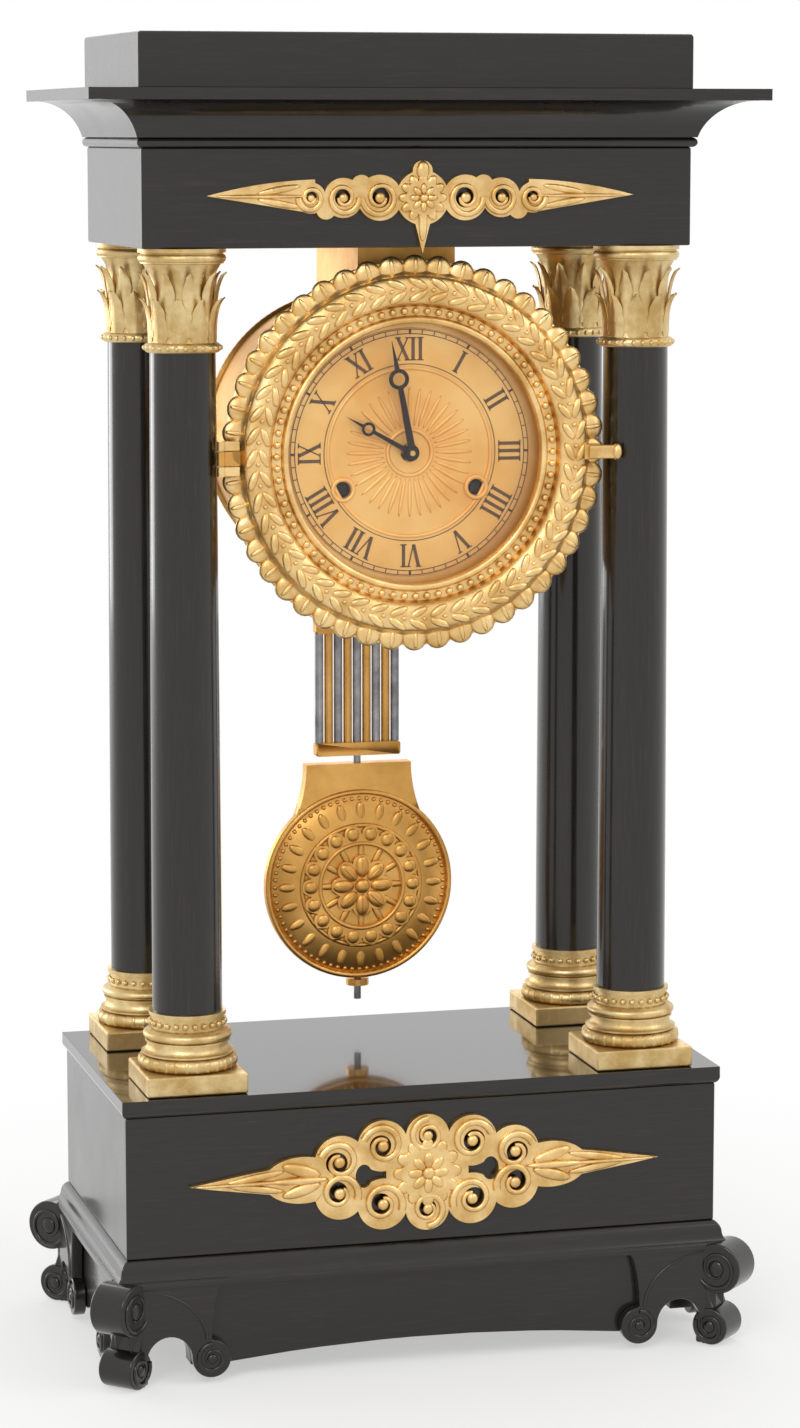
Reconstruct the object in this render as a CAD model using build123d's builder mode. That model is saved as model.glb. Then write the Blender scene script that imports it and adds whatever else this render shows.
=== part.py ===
"""Portico clock: four ebonised columns on a moulded base carry an entablature, and a drum
movement with a cast gilt bezel hangs between them over a gridiron pendulum.

Millimetres, +Z up, the dial faces -Y, and the origin is on the floor under the middle."""
import os
from math import asin, atan2, cos, degrees, hypot, pi, radians, sin, sqrt

from build123d import *

os.makedirs("parts", exist_ok=True)

# Clearances
seat_gap = 0.3
running_fit = 0.06
rod_clearance = 0.4
overrun = 5.0

# Widths and depths, from the bezel that hangs between the columns outwards
bezel_radius = 71.1
shaft_foot_radius = 12.6
column_gap = 0.1
column_spacing_x = (bezel_radius + column_gap + shaft_foot_radius) * 2
column_spacing_y = 78.2
column_inset_x = 26.8
column_inset_y = 19.5
base_width = column_spacing_x + column_inset_x * 2
base_depth = column_spacing_y + column_inset_y * 2
frieze_inset_x = 10.2
frieze_inset_y = 7.6
frieze_width = base_width - frieze_inset_x * 2
frieze_depth = base_depth - frieze_inset_y * 2
block_inset_x = 9.5
block_inset_y = 8.0
block_width = base_width - block_inset_x * 2
block_depth = base_depth - block_inset_y * 2

# Base, from the floor up
apron_rise = 6.0
apron_height = 30.0
apron_arch = 4.0
apron_thickness = 9.0
moulding_height = 10.0
moulding_overhang = 5.0
box_height = 52.0
box_wall = 9.0
board_thickness = 7.0
slab_thickness = 6.3
slab_overhang = 1.4

# Scroll feet
foot_thickness = 14.0
volute_radius = 9.5
volute_height = 29.5
volute_reach = 14.0
toe_radius = 7.5
toe_height = 7.0
wing_length = 37.0
wing_thickness = 4.6
curl_radius = 7.0
curl_height = 9.0
foot_post_width = 8.5
foot_slot_height = 18.0
wing_sweep_share = 0.88
foot_eye_radius = 2.6

# Columns
column_base_height = 28.2
column_plinth_width = 36.6
column_plinth_height = 7.5
shaft_height = 235.9
shaft_neck_radius = 11.7
capital_height = 36.5
capital_radius = 15.6
capital_leaves = 12
rod_radius = 2.6
nut_radius = 4.6
nut_height = 4.0

# Entablature
frieze_height = 35.0
frieze_wall = 7.0
frieze_floor_thickness = 8.0
cove_fillet = 3.5
cove_height = 12.9
cove_bulge_share = 0.78
cornice_overhang = 22.4
shelf_thickness = 4.1
block_height = 19.6
block_wall = 7.0

# Mounts of chased gilt brass
base_mount_length = 176.0
base_mount_height = 43.0
frieze_mount_length = 156.0
frieze_mount_height = 26.0
mount_thickness = 2.4

# Drum, hung under the frieze with its middle at the dial centre
dial_headroom = 2.6
drum_radius = 53.0
drum_wall = 1.5
drum_front = -38.2
drum_back = 60.0
flange_inset = 3.6
flange_radius = bezel_radius - flange_inset
flange_thickness = 1.5
slot_half_width = 10.0
slot_front = 35.0
slot_back = 48.0
saddle_width = 36.0
saddle_depth = 62.0
screw_radius = 1.6
screw_head_radius = 3.2
screw_head_height = 1.8
screw_bite_share = 0.676
screw_spacing = 26.0

# Bezel and glass
bezel_lobe_band = 5.1
bezel_body_radius = bezel_radius - bezel_lobe_band
bezel_width = 24.5
bezel_sight = bezel_radius - bezel_width
bezel_edge_thickness = 3.5
bezel_crest = 9.0
bezel_lobes = 48
glass_lap = 1.4
glass_radius = bezel_sight + glass_lap
glass_thickness = 1.4
glass_rise = 4.0
hinge_radius = 1.5
pin_radius = 0.7
bezel_hinge_reach = 0.9
bezel_hinge_x = -bezel_radius - bezel_hinge_reach
bezel_hinge_y = -47.8
knuckle_height = 3.4
lug_height = 5.0
lug_width = 2.2
catch_length = 3.9
catch_reach = bezel_radius + catch_length
catch_height = 6.0
catch_thickness = 2.2

# Back cover
cover_rim = 1.4
cover_radius = drum_radius + cover_rim
cover_thickness = 1.6
cover_lip_depth = 4.0
cover_hinge_reach = 3.4
cover_hinge_x = -drum_radius - cover_hinge_reach
knob_radius = 4.0
knob_length = 6.0

# Dial and hands
dial_play = 0.5
dial_radius = drum_radius - drum_wall - dial_play
dial_thickness = 1.5
dial_front = -35.5
dial_hole_radius = 3.4
winding_hole_radius = 2.9
chapter_outer_radius = 44.5
chapter_inner_radius = 31.0
chapter_rise = 0.4
minute_hand_length = 41.0
hour_hand_length = 27.5
hand_thickness = 0.6
hand_ring_share = 0.09
hand_ring_place_share = 0.66
hand_eye_share = 0.62
hand_stem_share = 0.022
hand_foot_share = 1.5
hand_point_share = 1.3
hour_boss_share = 1.3
hour_hand_front = -38.3
minute_hand_front = -40.0
shown_hour = 9.97

# Movement plates and pillars
plate_thickness = 2.2
front_plate_front = -24.5
pillar_length = 40.0
front_plate_play = 0.4
front_plate_radius = drum_radius - drum_wall - front_plate_play
back_plate_radius = 48.0
pillar_radius = 2.6
pillar_ring_radius = 44.0
arbor_radius = 1.0
pivot_bore_gap = 0.06

# Winding, from the dial centre
winding_x = 24.8
winding_drop = 13.0
barrel_radius = 16.6
barrel_front = -20.8
winding_arbor_radius = 2.4
winding_square = 3.4
ratchet_radius = 7.5
ratchet_teeth = 18
ratchet_root_share = 0.86
ratchet_thickness = 1.8
click_length = 9.0
click_place_share = 0.75
click_corner_share = 0.7
click_lean = 35.5

# Wheels: teeth counts and modules
great_teeth, great_pinion_leaves, great_module = 60, 10, 0.6
second_teeth, centre_pinion_leaves, second_module = 56, 8, 0.54
centre_teeth, third_pinion_leaves, centre_module = 72, 6, 0.38
third_teeth, escape_pinion_leaves, third_module = 66, 6, 0.37
strike_teeth, pin_pinion_leaves, strike_module = 60, 6, 0.46
pin_teeth, fly_pinion_leaves, pin_module = 48, 6, 0.4
cannon_leaves, minute_teeth, minute_module = 12, 36, 0.5
minute_pinion_leaves, hour_teeth = 10, 40
escape_teeth = 30
escape_radius = 11.0
escape_root_share = 0.84
escape_root_turn_share = 1.3
wheel_thickness = 1.2
leaf_height = 2.6
tooth_backlash = 0.13
wheel_rim_share = 0.84
wheel_hub_share = 0.26
window_start_share = 0.14
addendum_share = 0.9
dedendum_share = 1.25
great_front = 0.2
second_front = 7.0
centre_front = 12.0
third_front = 4.2
escape_front = -2.0
strike_front = 14.2
pin_front = 8.6
fly_front = -18.0
fly_height = 14.0
fly_half_width = 8.2
pin_count = 9
pin_circle_share = 0.82
count_circle_share = 0.8
count_notch_share = 0.06
pin_length = 2.4

# Escapement, suspension and pendulum
pallet_height = 35.0
pendulum_y = 42.0
pallet_clearance = 1.5
anchor_thickness = 1.6
anchor_crown_share = 1.6
crutch_drop = 28.0
crutch_y = 24.0
cock_width = 16.0
cock_thickness = 3.0
cock_reach_share = 1.5
spring_length = 9.0
spring_thickness = 0.25
chop_height = 4.0
chop_width = 7.0
chop_thickness = 2.4
rod_strip_width = 3.2
rod_strip_thickness = 1.2
gridiron_drop = 69.2
gridiron_width = 33.0
gridiron_rods = 9
gridiron_rod_radius = 1.65
yoke_height = 5.0
yoke_thickness = 5.0
bob_clearance = 19.1
bob_hang = 49.6
bob_radius = 37.0
bob_thickness = 12.0
bob_rim = 1.6
bob_dome_share = 0.8
bob_edge_share = 0.34
bob_rim_bow_share = 1.4
bob_ring_share = 0.86
bob_ring_bead_share = 0.14
bob_ring_beads = 18
bob_ring_inner_share = 0.66
bob_rosette_share = 0.3
bob_petal_circle_share = 0.36
bob_petal_share = 0.15
bob_rosette_rise = 1.9
bob_disc_radius = 23.5
shoulder_gap = 3.0
shoulder_width = 41.0
shoulder_foot_share = 0.7
thread_radius = 1.4
thread_length = 8.0
rating_nut_radius = 4.4
rating_nut_height = 2.4
rating_nut_sides = 16

# Bell and hammer, from the dial centre
bell_x = 14.0
bell_drop = 6.0
bell_radius = 28.0
bell_depth = 11.0
bell_wall = 1.4
bell_mouth = 45.4
bell_post_radius = 2.2
bell_crown_share = 0.6
bell_shoulder_share = 0.9
bell_shoulder_depth_share = 0.7
post_foot_share = 1.6
post_head_share = 1.8
hammer_x = -34.0
hammer_rise = 29.0
hammer_head_radius = 4.2
hammer_gap = 0.6

# Levels that follow from the stack
moulding_z = apron_rise + apron_height
box_z = moulding_z + moulding_height
slab_z = box_z + box_height
base_top_z = slab_z + slab_thickness
shaft_z = base_top_z + column_base_height
capital_z = shaft_z + shaft_height
frieze_z = capital_z + capital_height
cornice_z = frieze_z + frieze_height
shelf_z = cornice_z + cove_fillet + cove_height
block_z = shelf_z + shelf_thickness
top_z = block_z + block_height
dial_height = frieze_z - dial_headroom - bezel_radius
gridiron_top = dial_height - gridiron_drop
bob_height = base_top_z + bob_clearance + bob_radius
gridiron_bottom = bob_height + bob_hang
shoulder_top = gridiron_bottom - shoulder_gap
saddle_height = frieze_z - dial_height - drum_radius
screw_length = saddle_height * screw_bite_share

# Depths that follow from the drum
flange_front = drum_front - flange_thickness
bezel_back = flange_front - seat_gap
dial_back = dial_front + dial_thickness
front_plate_back = front_plate_front + plate_thickness
back_plate_front = front_plate_back + pillar_length
back_plate_back = back_plate_front + plate_thickness


def save(piece, name):
    """Label one finished piece and write its file."""
    piece.part.label = name
    export_step(piece.part, f"parts/{name}.step")


def front_plane(x, y, z):
    """Upright plane: x to the right, z up, and extrusion towards the front."""
    return Plane(origin=(x, y, z), x_dir=(1, 0, 0), z_dir=(0, -1, 0))


def dial_plane(y):
    """Upright plane at one depth with its origin on the dial's axis."""
    return front_plane(0, y, dial_height)


def lathe_plane(x, z):
    """Level plane through a front-to-back axis: radius along x, depth along y."""
    return Plane(origin=(x, 0, z))


def depth_axis(x, z):
    """Front-to-back axis through one point of the elevation."""
    return Axis((x, 0, z), (0, 1, 0))


def disc(x, z, radius, front, back, mode=Mode.ADD):
    """Round disc or arbor about a front-to-back axis, in the part being built."""
    with BuildSketch(front_plane(x, back, z)) as outline:
        Circle(radius)
    extrude(outline.sketch, amount=back - front, mode=mode)


def post(x, y, radius, bottom, top, mode=Mode.ADD):
    """Upright round post or hole, in the part being built."""
    with BuildSketch(Plane.XY.offset(bottom)) as outline:
        with Locations((x, y)):
            Circle(radius)
    extrude(outline.sketch, amount=top - bottom, mode=mode)


def block(x0, x1, y0, y1, z0, z1, mode=Mode.ADD):
    """Rectangular block between two corners, in the part being built."""
    with BuildSketch(Plane.XY.offset(z0)) as outline:
        with Locations(((x0 + x1) / 2, (y0 + y1) / 2)):
            Rectangle(x1 - x0, y1 - y0)
    extrude(outline.sketch, amount=z1 - z0, mode=mode)


def polygon_plate(points, plane, thickness, mode=Mode.ADD):
    """Flat plate with a straight-sided outline, in the part being built."""
    with BuildSketch(plane) as outline:
        with BuildLine():
            Polyline(*points, close=True)
        make_face()
    extrude(outline.sketch, amount=thickness, mode=mode)


def mitred(draw, half_x, half_y):
    """Moulding that returns round all four sides, its outline drawn by draw(half)."""
    reach = 2 * (half_x + half_y)
    with BuildPart() as piece:
        with BuildSketch(Plane.XZ) as across:
            with BuildLine():
                draw(half_x)
                mirror(about=Plane.YZ)
            make_face()
        extrude(amount=reach, both=True)
        with BuildSketch(Plane.YZ) as along:
            with BuildLine():
                draw(half_y)
                mirror(about=Plane.YZ)
            make_face()
        extrude(amount=reach, both=True, mode=Mode.INTERSECT)
    return piece


column_places = [
    (sx * column_spacing_x / 2, sy * column_spacing_y / 2) for sx in (-1, 1) for sy in (-1, 1)
]


# Base
apron_inner_x = base_width / 2 - apron_thickness
apron_inner_y = base_depth / 2 - apron_thickness


def wing_planes(sx, sy):
    """The apron's two outer faces at one corner, x running from the corner along each."""
    corner = (sx * base_width / 2, sy * base_depth / 2, 0)
    return [Plane(origin=corner, x_dir=along, z_dir=out)
            for along, out in (((-sx, 0, 0), (0, sy, 0)), ((0, -sy, 0), (sx, 0, 0)))]


def foot_slot_outline(up):
    """Arched opening under a wing, between the corner post and the curl."""
    slot_end = wing_length - 2 * curl_radius
    Line((foot_post_width, 0), (slot_end, 0))
    Line((slot_end, 0), (slot_end, up * curl_height))
    ThreePointArc((slot_end, up * curl_height),
                  ((foot_post_width + slot_end) / 2, up * foot_slot_height), (foot_post_width, 0))


def plinth_outline(half):
    """Flat apron under an ogee that swells out and comes back to the box above."""
    lip = moulding_height / 5
    out = half + moulding_overhang
    Line((0, apron_rise), (half, apron_rise))
    Line((half, apron_rise), (half, moulding_z))
    Line((half, moulding_z), (out, moulding_z))
    Line((out, moulding_z), (out, moulding_z + lip))
    middle = (half + moulding_overhang / 2, moulding_z + (moulding_height + lip) / 2)
    RadiusArc((out, moulding_z + lip), middle, moulding_height / 2)
    RadiusArc(middle, (half, box_z), -moulding_height / 2)
    Line((half, box_z), (0, box_z))


with BuildPart() as base_plinth:
    add(mitred(plinth_outline, base_width / 2, base_depth / 2).part)
    block(-apron_inner_x, apron_inner_x, -apron_inner_y, apron_inner_y,
          apron_rise - overrun, box_z + overrun, mode=Mode.SUBTRACT)
    for plane, half in ((Plane.XZ, base_width / 2), (Plane.YZ, base_depth / 2)):
        arch_half = half - wing_length
        with BuildSketch(plane) as arch:
            with BuildLine():
                ThreePointArc((-arch_half, apron_rise), (0, apron_rise + apron_arch),
                              (arch_half, apron_rise))
                Line((arch_half, apron_rise), (-arch_half, apron_rise))
            make_face()
        extrude(arch.sketch, amount=base_width, both=True, mode=Mode.SUBTRACT)
    for sx, sy in ((-1, -1), (-1, 1), (1, -1), (1, 1)):
        for wing in wing_planes(sx, sy):
            with BuildSketch(wing) as slot:
                with BuildLine():
                    foot_slot_outline(1 if wing.y_dir.Z > 0 else -1)
                make_face()
            extrude(slot.sketch, amount=-apron_thickness - overrun, mode=Mode.SUBTRACT)
save(base_plinth, "base_plinth")

with BuildPart() as base_box:
    block(-base_width / 2, base_width / 2, -base_depth / 2, base_depth / 2, box_z, slab_z)
    block(-base_width / 2 + box_wall, base_width / 2 - box_wall,
          -base_depth / 2 + box_wall, base_depth / 2 - box_wall,
          box_z - overrun, slab_z + overrun, mode=Mode.SUBTRACT)
save(base_box, "base_box")

with BuildPart() as base_bottom:
    block(-base_width / 2 + box_wall + running_fit, base_width / 2 - box_wall - running_fit,
          -base_depth / 2 + box_wall + running_fit, base_depth / 2 - box_wall - running_fit,
          box_z, box_z + board_thickness)
    for x, y in column_places:
        post(x, y, rod_radius + rod_clearance, box_z - overrun,
             box_z + board_thickness + overrun, mode=Mode.SUBTRACT)
save(base_bottom, "base_bottom")


def slab_outline(half):
    """Square-edged slab with a rounded lip."""
    out = half + slab_overhang
    Line((0, slab_z), (half, slab_z))
    RadiusArc((half, slab_z), (out, slab_z + slab_thickness / 2), -slab_thickness / 2)
    Line((out, slab_z + slab_thickness / 2), (out, base_top_z))
    Line((out, base_top_z), (0, base_top_z))


with BuildPart() as base_top:
    add(mitred(slab_outline, base_width / 2, base_depth / 2).part)
    for x, y in column_places:
        post(x, y, rod_radius + rod_clearance, slab_z - overrun, base_top_z + overrun,
             mode=Mode.SUBTRACT)
save(base_top, "base_top")


def scroll_foot(sx, sy):
    """Corner foot: a volute on the diagonal and two carved wings that lie on the apron."""
    corner = (sx * base_width / 2, sy * base_depth / 2)
    outward = (sx / sqrt(2), sy / sqrt(2), 0)
    across = (-sy / sqrt(2), sx / sqrt(2), 0)
    diagonal = Plane(origin=(*corner, 0), x_dir=outward, z_dir=(-across[0], -across[1], 0))
    top = moulding_z
    heel = wing_length / 2
    eye_reach = volute_reach - volute_radius
    with BuildPart() as foot:
        with BuildSketch(diagonal) as scroll:
            with BuildLine():
                Polyline((-toe_radius / 2, 0), (toe_radius / 2, 0), (eye_reach / 2, volute_height),
                         (0, top), (-heel, top), (-heel, foot_slot_height), close=True)
            make_face()
            with Locations((eye_reach, volute_height)):
                Circle(volute_radius)
            with Locations((toe_radius / 4, toe_height)):
                Circle(toe_radius)
            with Locations((0, -toe_radius)):
                Rectangle(4 * toe_radius, 2 * toe_radius, mode=Mode.SUBTRACT)
            with Locations((eye_reach, volute_height)):
                Circle(foot_eye_radius, mode=Mode.SUBTRACT)
        extrude(scroll.sketch, amount=foot_thickness / 2, both=True)
        for wing in wing_planes(sx, sy):
            up = 1 if wing.y_dir.Z > 0 else -1
            curl = (wing_length - curl_radius, up * curl_height)
            with BuildSketch(wing) as side:
                slot_end = curl[0] - curl_radius
                with BuildLine():
                    Line((0, 0), (foot_post_width, 0))
                    ThreePointArc((foot_post_width, 0),
                                  ((foot_post_width + slot_end) / 2, up * foot_slot_height),
                                  (slot_end, up * curl_height))
                    Polyline((slot_end, up * curl_height), curl,
                             (curl[0], up * (curl_height + curl_radius)))
                    ThreePointArc((curl[0], up * (curl_height + curl_radius)),
                                  (wing_length * wing_sweep_share, up * top * wing_sweep_share),
                                  (wing_length, up * top))
                    Polyline((wing_length, up * top), (0, up * top), (0, 0))
                make_face()
                with Locations(curl):
                    Circle(curl_radius)
                    Circle(foot_eye_radius / 2, mode=Mode.SUBTRACT)
            extrude(side.sketch, amount=wing_thickness)
        block(-base_width / 2, base_width / 2, -base_depth / 2, base_depth / 2,
              apron_rise, top + overrun, mode=Mode.SUBTRACT)
        block(-base_width / 2 - moulding_overhang, base_width / 2 + moulding_overhang,
              -base_depth / 2 - moulding_overhang, base_depth / 2 + moulding_overhang,
              top, top + overrun, mode=Mode.SUBTRACT)
    return foot


with BuildPart() as scroll_feet:
    for sx in (-1, 1):
        for sy in (-1, 1):
            add(scroll_foot(sx, sy).part)
save(scroll_feet, "scroll_feet")


# Columns
def column_profile(draw, x, y):
    """Turned piece about one column's axis, its outline drawn from the axis outwards."""
    with BuildPart() as piece:
        with BuildSketch(Plane(origin=(x, y, 0), x_dir=(1, 0, 0), z_dir=(0, -1, 0))) as half:
            with BuildLine():
                draw()
            make_face()
        revolve(half.sketch, axis=Axis((x, y, 0), (0, 0, 1)))
        post(x, y, rod_radius + rod_clearance, base_top_z - overrun, frieze_z + overrun,
             mode=Mode.SUBTRACT)
    return piece


def base_turning():
    """Two rings with a hollow between them, and a collar that takes the shaft."""
    low = base_top_z + column_plinth_height
    rise = (shaft_z - low) / 8
    wide = column_plinth_width / 2 - seat_gap
    neck = shaft_foot_radius + rise / 2
    waist = shaft_foot_radius + rise
    Line((0, low), (wide - rise, low))
    RadiusArc((wide - rise, low), (wide - rise, low + 2 * rise), -rise)
    Line((wide - rise, low + 2 * rise), (waist + rise, low + 2 * rise))
    RadiusArc((waist + rise, low + 2 * rise), (waist, low + 4 * rise), -2 * rise)
    RadiusArc((waist, low + 4 * rise), (waist, low + 6 * rise), -rise)
    Line((waist, low + 6 * rise), (neck, low + 6 * rise))
    Line((neck, low + 6 * rise), (neck, shaft_z))
    Line((neck, shaft_z), (0, shaft_z))
    Line((0, shaft_z), (0, low))


def shaft_turning():
    """Long plain shaft, wider at the foot than at the neck."""
    Polyline((0, shaft_z), (shaft_foot_radius, shaft_z), (shaft_neck_radius, capital_z),
             (0, capital_z), close=True)


leaf_overlap_share = 0.62
capital_ring = capital_height / 10
abacus_height = capital_height / 7


def capital_turning():
    """Neck ring under a bell, and a moulded ring over the leaves."""
    bell_top = frieze_z - abacus_height
    Line((0, capital_z), (shaft_neck_radius + capital_ring / 2, capital_z))
    RadiusArc((shaft_neck_radius + capital_ring / 2, capital_z),
              (shaft_neck_radius + capital_ring / 2, capital_z + capital_ring), -capital_ring / 2)
    Line((shaft_neck_radius + capital_ring / 2, capital_z + capital_ring),
         (shaft_neck_radius, capital_z + capital_ring))
    Line((shaft_neck_radius, capital_z + capital_ring), (shaft_neck_radius, bell_top))
    Line((shaft_neck_radius, bell_top), (capital_radius - abacus_height / 2, bell_top))
    RadiusArc((capital_radius - abacus_height / 2, bell_top),
              (capital_radius, bell_top + abacus_height / 2), -abacus_height / 2)
    Line((capital_radius, bell_top + abacus_height / 2), (capital_radius, frieze_z))
    Line((capital_radius, frieze_z), (0, frieze_z))
    Line((0, frieze_z), (0, capital_z))


def leaf_ring(x, y, foot_radius, head_radius, bottom, top):
    """Ring of upright leaves that lean outwards, as one lobed body."""
    with BuildPart() as leaves:
        for level, radius in ((bottom, foot_radius), (top, head_radius)):
            leaf = 2 * radius * sin(pi / capital_leaves) * leaf_overlap_share
            with BuildSketch(Plane.XY.offset(level)):
                with Locations((x, y)):
                    Circle(radius - leaf / 2)
                    with PolarLocations(radius - leaf, capital_leaves):
                        Circle(leaf)
        loft(ruled=True)
    return leaves


with BuildPart() as column_bases:
    for x, y in column_places:
        add(column_profile(base_turning, x, y).part)
        half = column_plinth_width / 2
        block(x - half, x + half, y - half, y + half,
              base_top_z, base_top_z + column_plinth_height)
        post(x, y, rod_radius + rod_clearance, base_top_z - overrun, shaft_z, mode=Mode.SUBTRACT)
save(column_bases, "column_bases")

with BuildPart() as column_shafts:
    for x, y in column_places:
        add(column_profile(shaft_turning, x, y).part)
save(column_shafts, "column_shafts")

with BuildPart() as capitals:
    for x, y in column_places:
        add(column_profile(capital_turning, x, y).part)
        with BuildPart(mode=Mode.PRIVATE) as dressing:
            add(leaf_ring(x, y, shaft_neck_radius + capital_ring / 2,
                          capital_radius - capital_ring / 2,
                          capital_z + capital_ring, frieze_z - abacus_height).part)
            post(x, y, rod_radius + rod_clearance, capital_z, frieze_z, mode=Mode.SUBTRACT)
        add(dressing.part)
save(capitals, "capitals")

rod_bottom = box_z - nut_height - seat_gap
rod_top = frieze_z + frieze_floor_thickness + nut_height + seat_gap
with BuildPart() as tie_rods:
    for x, y in column_places:
        post(x, y, rod_radius, rod_bottom, rod_top)
save(tie_rods, "tie_rods")

with BuildPart() as tie_nuts:
    for x, y in column_places:
        for level in (box_z - nut_height, frieze_z + frieze_floor_thickness):
            with BuildSketch(Plane.XY.offset(level)) as nut:
                with Locations((x, y)):
                    RegularPolygon(nut_radius, 6)
                    Circle(rod_radius + running_fit, mode=Mode.SUBTRACT)
            extrude(nut.sketch, amount=nut_height)
save(tie_nuts, "tie_nuts")


# Entablature
inner_x = frieze_width / 2 - frieze_wall
inner_y = frieze_depth / 2 - frieze_wall

with BuildPart() as frieze_box:
    block(-frieze_width / 2, frieze_width / 2, -frieze_depth / 2, frieze_depth / 2,
          frieze_z, cornice_z)
    block(-inner_x, inner_x, -inner_y, inner_y, frieze_z - overrun, cornice_z + overrun,
          mode=Mode.SUBTRACT)
save(frieze_box, "frieze_box")

with BuildPart() as frieze_floor:
    block(-inner_x + running_fit, inner_x - running_fit,
          -inner_y + running_fit, inner_y - running_fit,
          frieze_z, frieze_z + frieze_floor_thickness)
    for x, y in column_places:
        post(x, y, rod_radius + rod_clearance, frieze_z - overrun,
             frieze_z + frieze_floor_thickness + overrun, mode=Mode.SUBTRACT)
save(frieze_floor, "frieze_floor")


def cornice_outline(half):
    """Bead and fillet, a deep cove, and a thin shelf."""
    step = cove_fillet / 2
    cove_foot = half + step
    cove_head = half + cornice_overhang - step
    Line((0, cornice_z), (half, cornice_z))
    RadiusArc((half, cornice_z), (half, cornice_z + cove_fillet), -cove_fillet / 2)
    Line((half, cornice_z + cove_fillet), (cove_foot, cornice_z + cove_fillet))
    bulge = hypot(cove_head - cove_foot, cove_height) * cove_bulge_share
    RadiusArc((cove_foot, cornice_z + cove_fillet), (cove_head, shelf_z), bulge)
    Line((cove_head, shelf_z), (half + cornice_overhang, shelf_z))
    Line((half + cornice_overhang, shelf_z), (half + cornice_overhang, block_z))
    Line((half + cornice_overhang, block_z), (0, block_z))


with BuildPart() as cornice:
    add(mitred(cornice_outline, frieze_width / 2, frieze_depth / 2).part)
    block(-inner_x, inner_x, -inner_y, inner_y, cornice_z - overrun, block_z + overrun,
          mode=Mode.SUBTRACT)
    block(-frieze_width, frieze_width, frieze_depth / 2, frieze_width,
          cornice_z - overrun, block_z + overrun, mode=Mode.SUBTRACT)
save(cornice, "cornice")

with BuildPart() as top_block:
    block(-block_width / 2, block_width / 2, -block_depth / 2, block_depth / 2, block_z, top_z)
    chamfer(top_block.edges().group_by(Axis.Z)[-1], length=block_wall / 10)
    block(-block_width / 2 + block_wall, block_width / 2 - block_wall,
          -block_depth / 2 + block_wall, block_depth / 2 - block_wall,
          block_z - overrun, top_z - block_wall, mode=Mode.SUBTRACT)
save(top_block, "top_block")


# Gilt mounts, each one pierced casting laid flat on the wood, drawn from shares of its
# half length and its half height
def on_both_sides(shares, half, rise):
    """Places on a mount, left and right, from shares of its half length and half height."""
    return [(sx * half * x, rise * y) for x, y in shares for sx in (-1, 1)]


base_heart_share = 0.72
base_scroll_share = 0.44
base_eye_share = 0.185
base_scroll_shares = ((0.19, 0.5), (0.19, -0.5), (0.37, 0.28), (0.37, -0.28))
base_eye_shares = ((0.2, 0.5), (0.2, -0.5), (0.385, 0.25), (0.385, -0.25))
base_palm_place_share = 0.53
base_palm_shares = (0.16, 0.4)
base_crest_place_share = 0.62
base_crest_share = 0.38
base_crest_eye_share = 0.15
base_leaf_root_shares = (0.45, 0.32)
base_leaf_middle_shares = (0.74, 0.17)
base_slot_place_share = 0.27
base_slot_shares = (0.035, 0.2)
base_boss_share = 0.4
base_petal_circle_share = 0.34
base_petal_share = 0.15
petals = 8


def base_mount_plate(plane, length, height, thickness):
    """Lozenge of scrolls round a rosette, running out to a pointed leaf at each end."""
    half, rise = length / 2, height / 2
    root_x, root_y = half * base_leaf_root_shares[0], rise * base_leaf_root_shares[1]
    middle_x, middle_y = half * base_leaf_middle_shares[0], rise * base_leaf_middle_shares[1]
    crests = ((0, rise * base_crest_place_share), (0, -rise * base_crest_place_share))
    with BuildPart() as plate:
        with BuildSketch(plane) as casting:
            Circle(rise * base_heart_share)
            with Locations(*on_both_sides(base_scroll_shares, half, rise)):
                Circle(rise * base_scroll_share)
            with Locations(*on_both_sides([(base_palm_place_share, 0)], half, rise)):
                Ellipse(half * base_palm_shares[0], rise * base_palm_shares[1])
            with Locations(*crests):
                Circle(rise * base_crest_share)
            for side in (-1, 1):
                with BuildLine():
                    ThreePointArc((side * root_x, root_y), (side * middle_x, middle_y),
                                  (side * half, 0))
                    ThreePointArc((side * half, 0), (side * middle_x, -middle_y),
                                  (side * root_x, -root_y))
                    Line((side * root_x, -root_y), (side * root_x, root_y))
                make_face()
            with Locations(*on_both_sides(base_eye_shares, half, rise)):
                Circle(rise * base_eye_share, mode=Mode.SUBTRACT)
            with Locations(*on_both_sides([(base_slot_place_share, 0)], half, rise)):
                Ellipse(half * base_slot_shares[0], rise * base_slot_shares[1],
                        mode=Mode.SUBTRACT)
            with Locations(*crests):
                Circle(rise * base_crest_eye_share, mode=Mode.SUBTRACT)
        extrude(casting.sketch, amount=thickness)
        with BuildSketch(plane.offset(thickness)) as boss:
            Circle(rise * base_boss_share)
            with PolarLocations(rise * base_petal_circle_share, petals):
                Circle(rise * base_petal_share)
        extrude(boss.sketch, amount=thickness / 2)
    return plate


with BuildPart() as base_mount:
    add(base_mount_plate(front_plane(0, -base_depth / 2, (box_z + slab_z) / 2),
                         base_mount_length, base_mount_height, mount_thickness).part)
save(base_mount, "base_mount")


frieze_heart_share = 0.74
frieze_crest_place_share = 0.72
frieze_bud_share = 0.28
frieze_scroll_shares = (0.2, 0.37, 0.52)
frieze_scroll_size_shares = (0.62, 0.54, 0.42)
frieze_eye_size_shares = (0.27, 0.23, 0.17)
frieze_bud_shares = ((0.285, 0.34), (0.45, -0.3))
frieze_leaf_root_shares = (0.5, 0.5, -0.42)
frieze_leaf_upper_shares = (0.76, 0.36)
frieze_leaf_lower_shares = (0.74, -0.2)
frieze_leaf_tip_share = 0.06
frieze_drop_shares = (0.26, 0.5)
frieze_drop_reach = 2.1
frieze_petal_circle_share = 0.3
frieze_petal_share = 0.2


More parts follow.
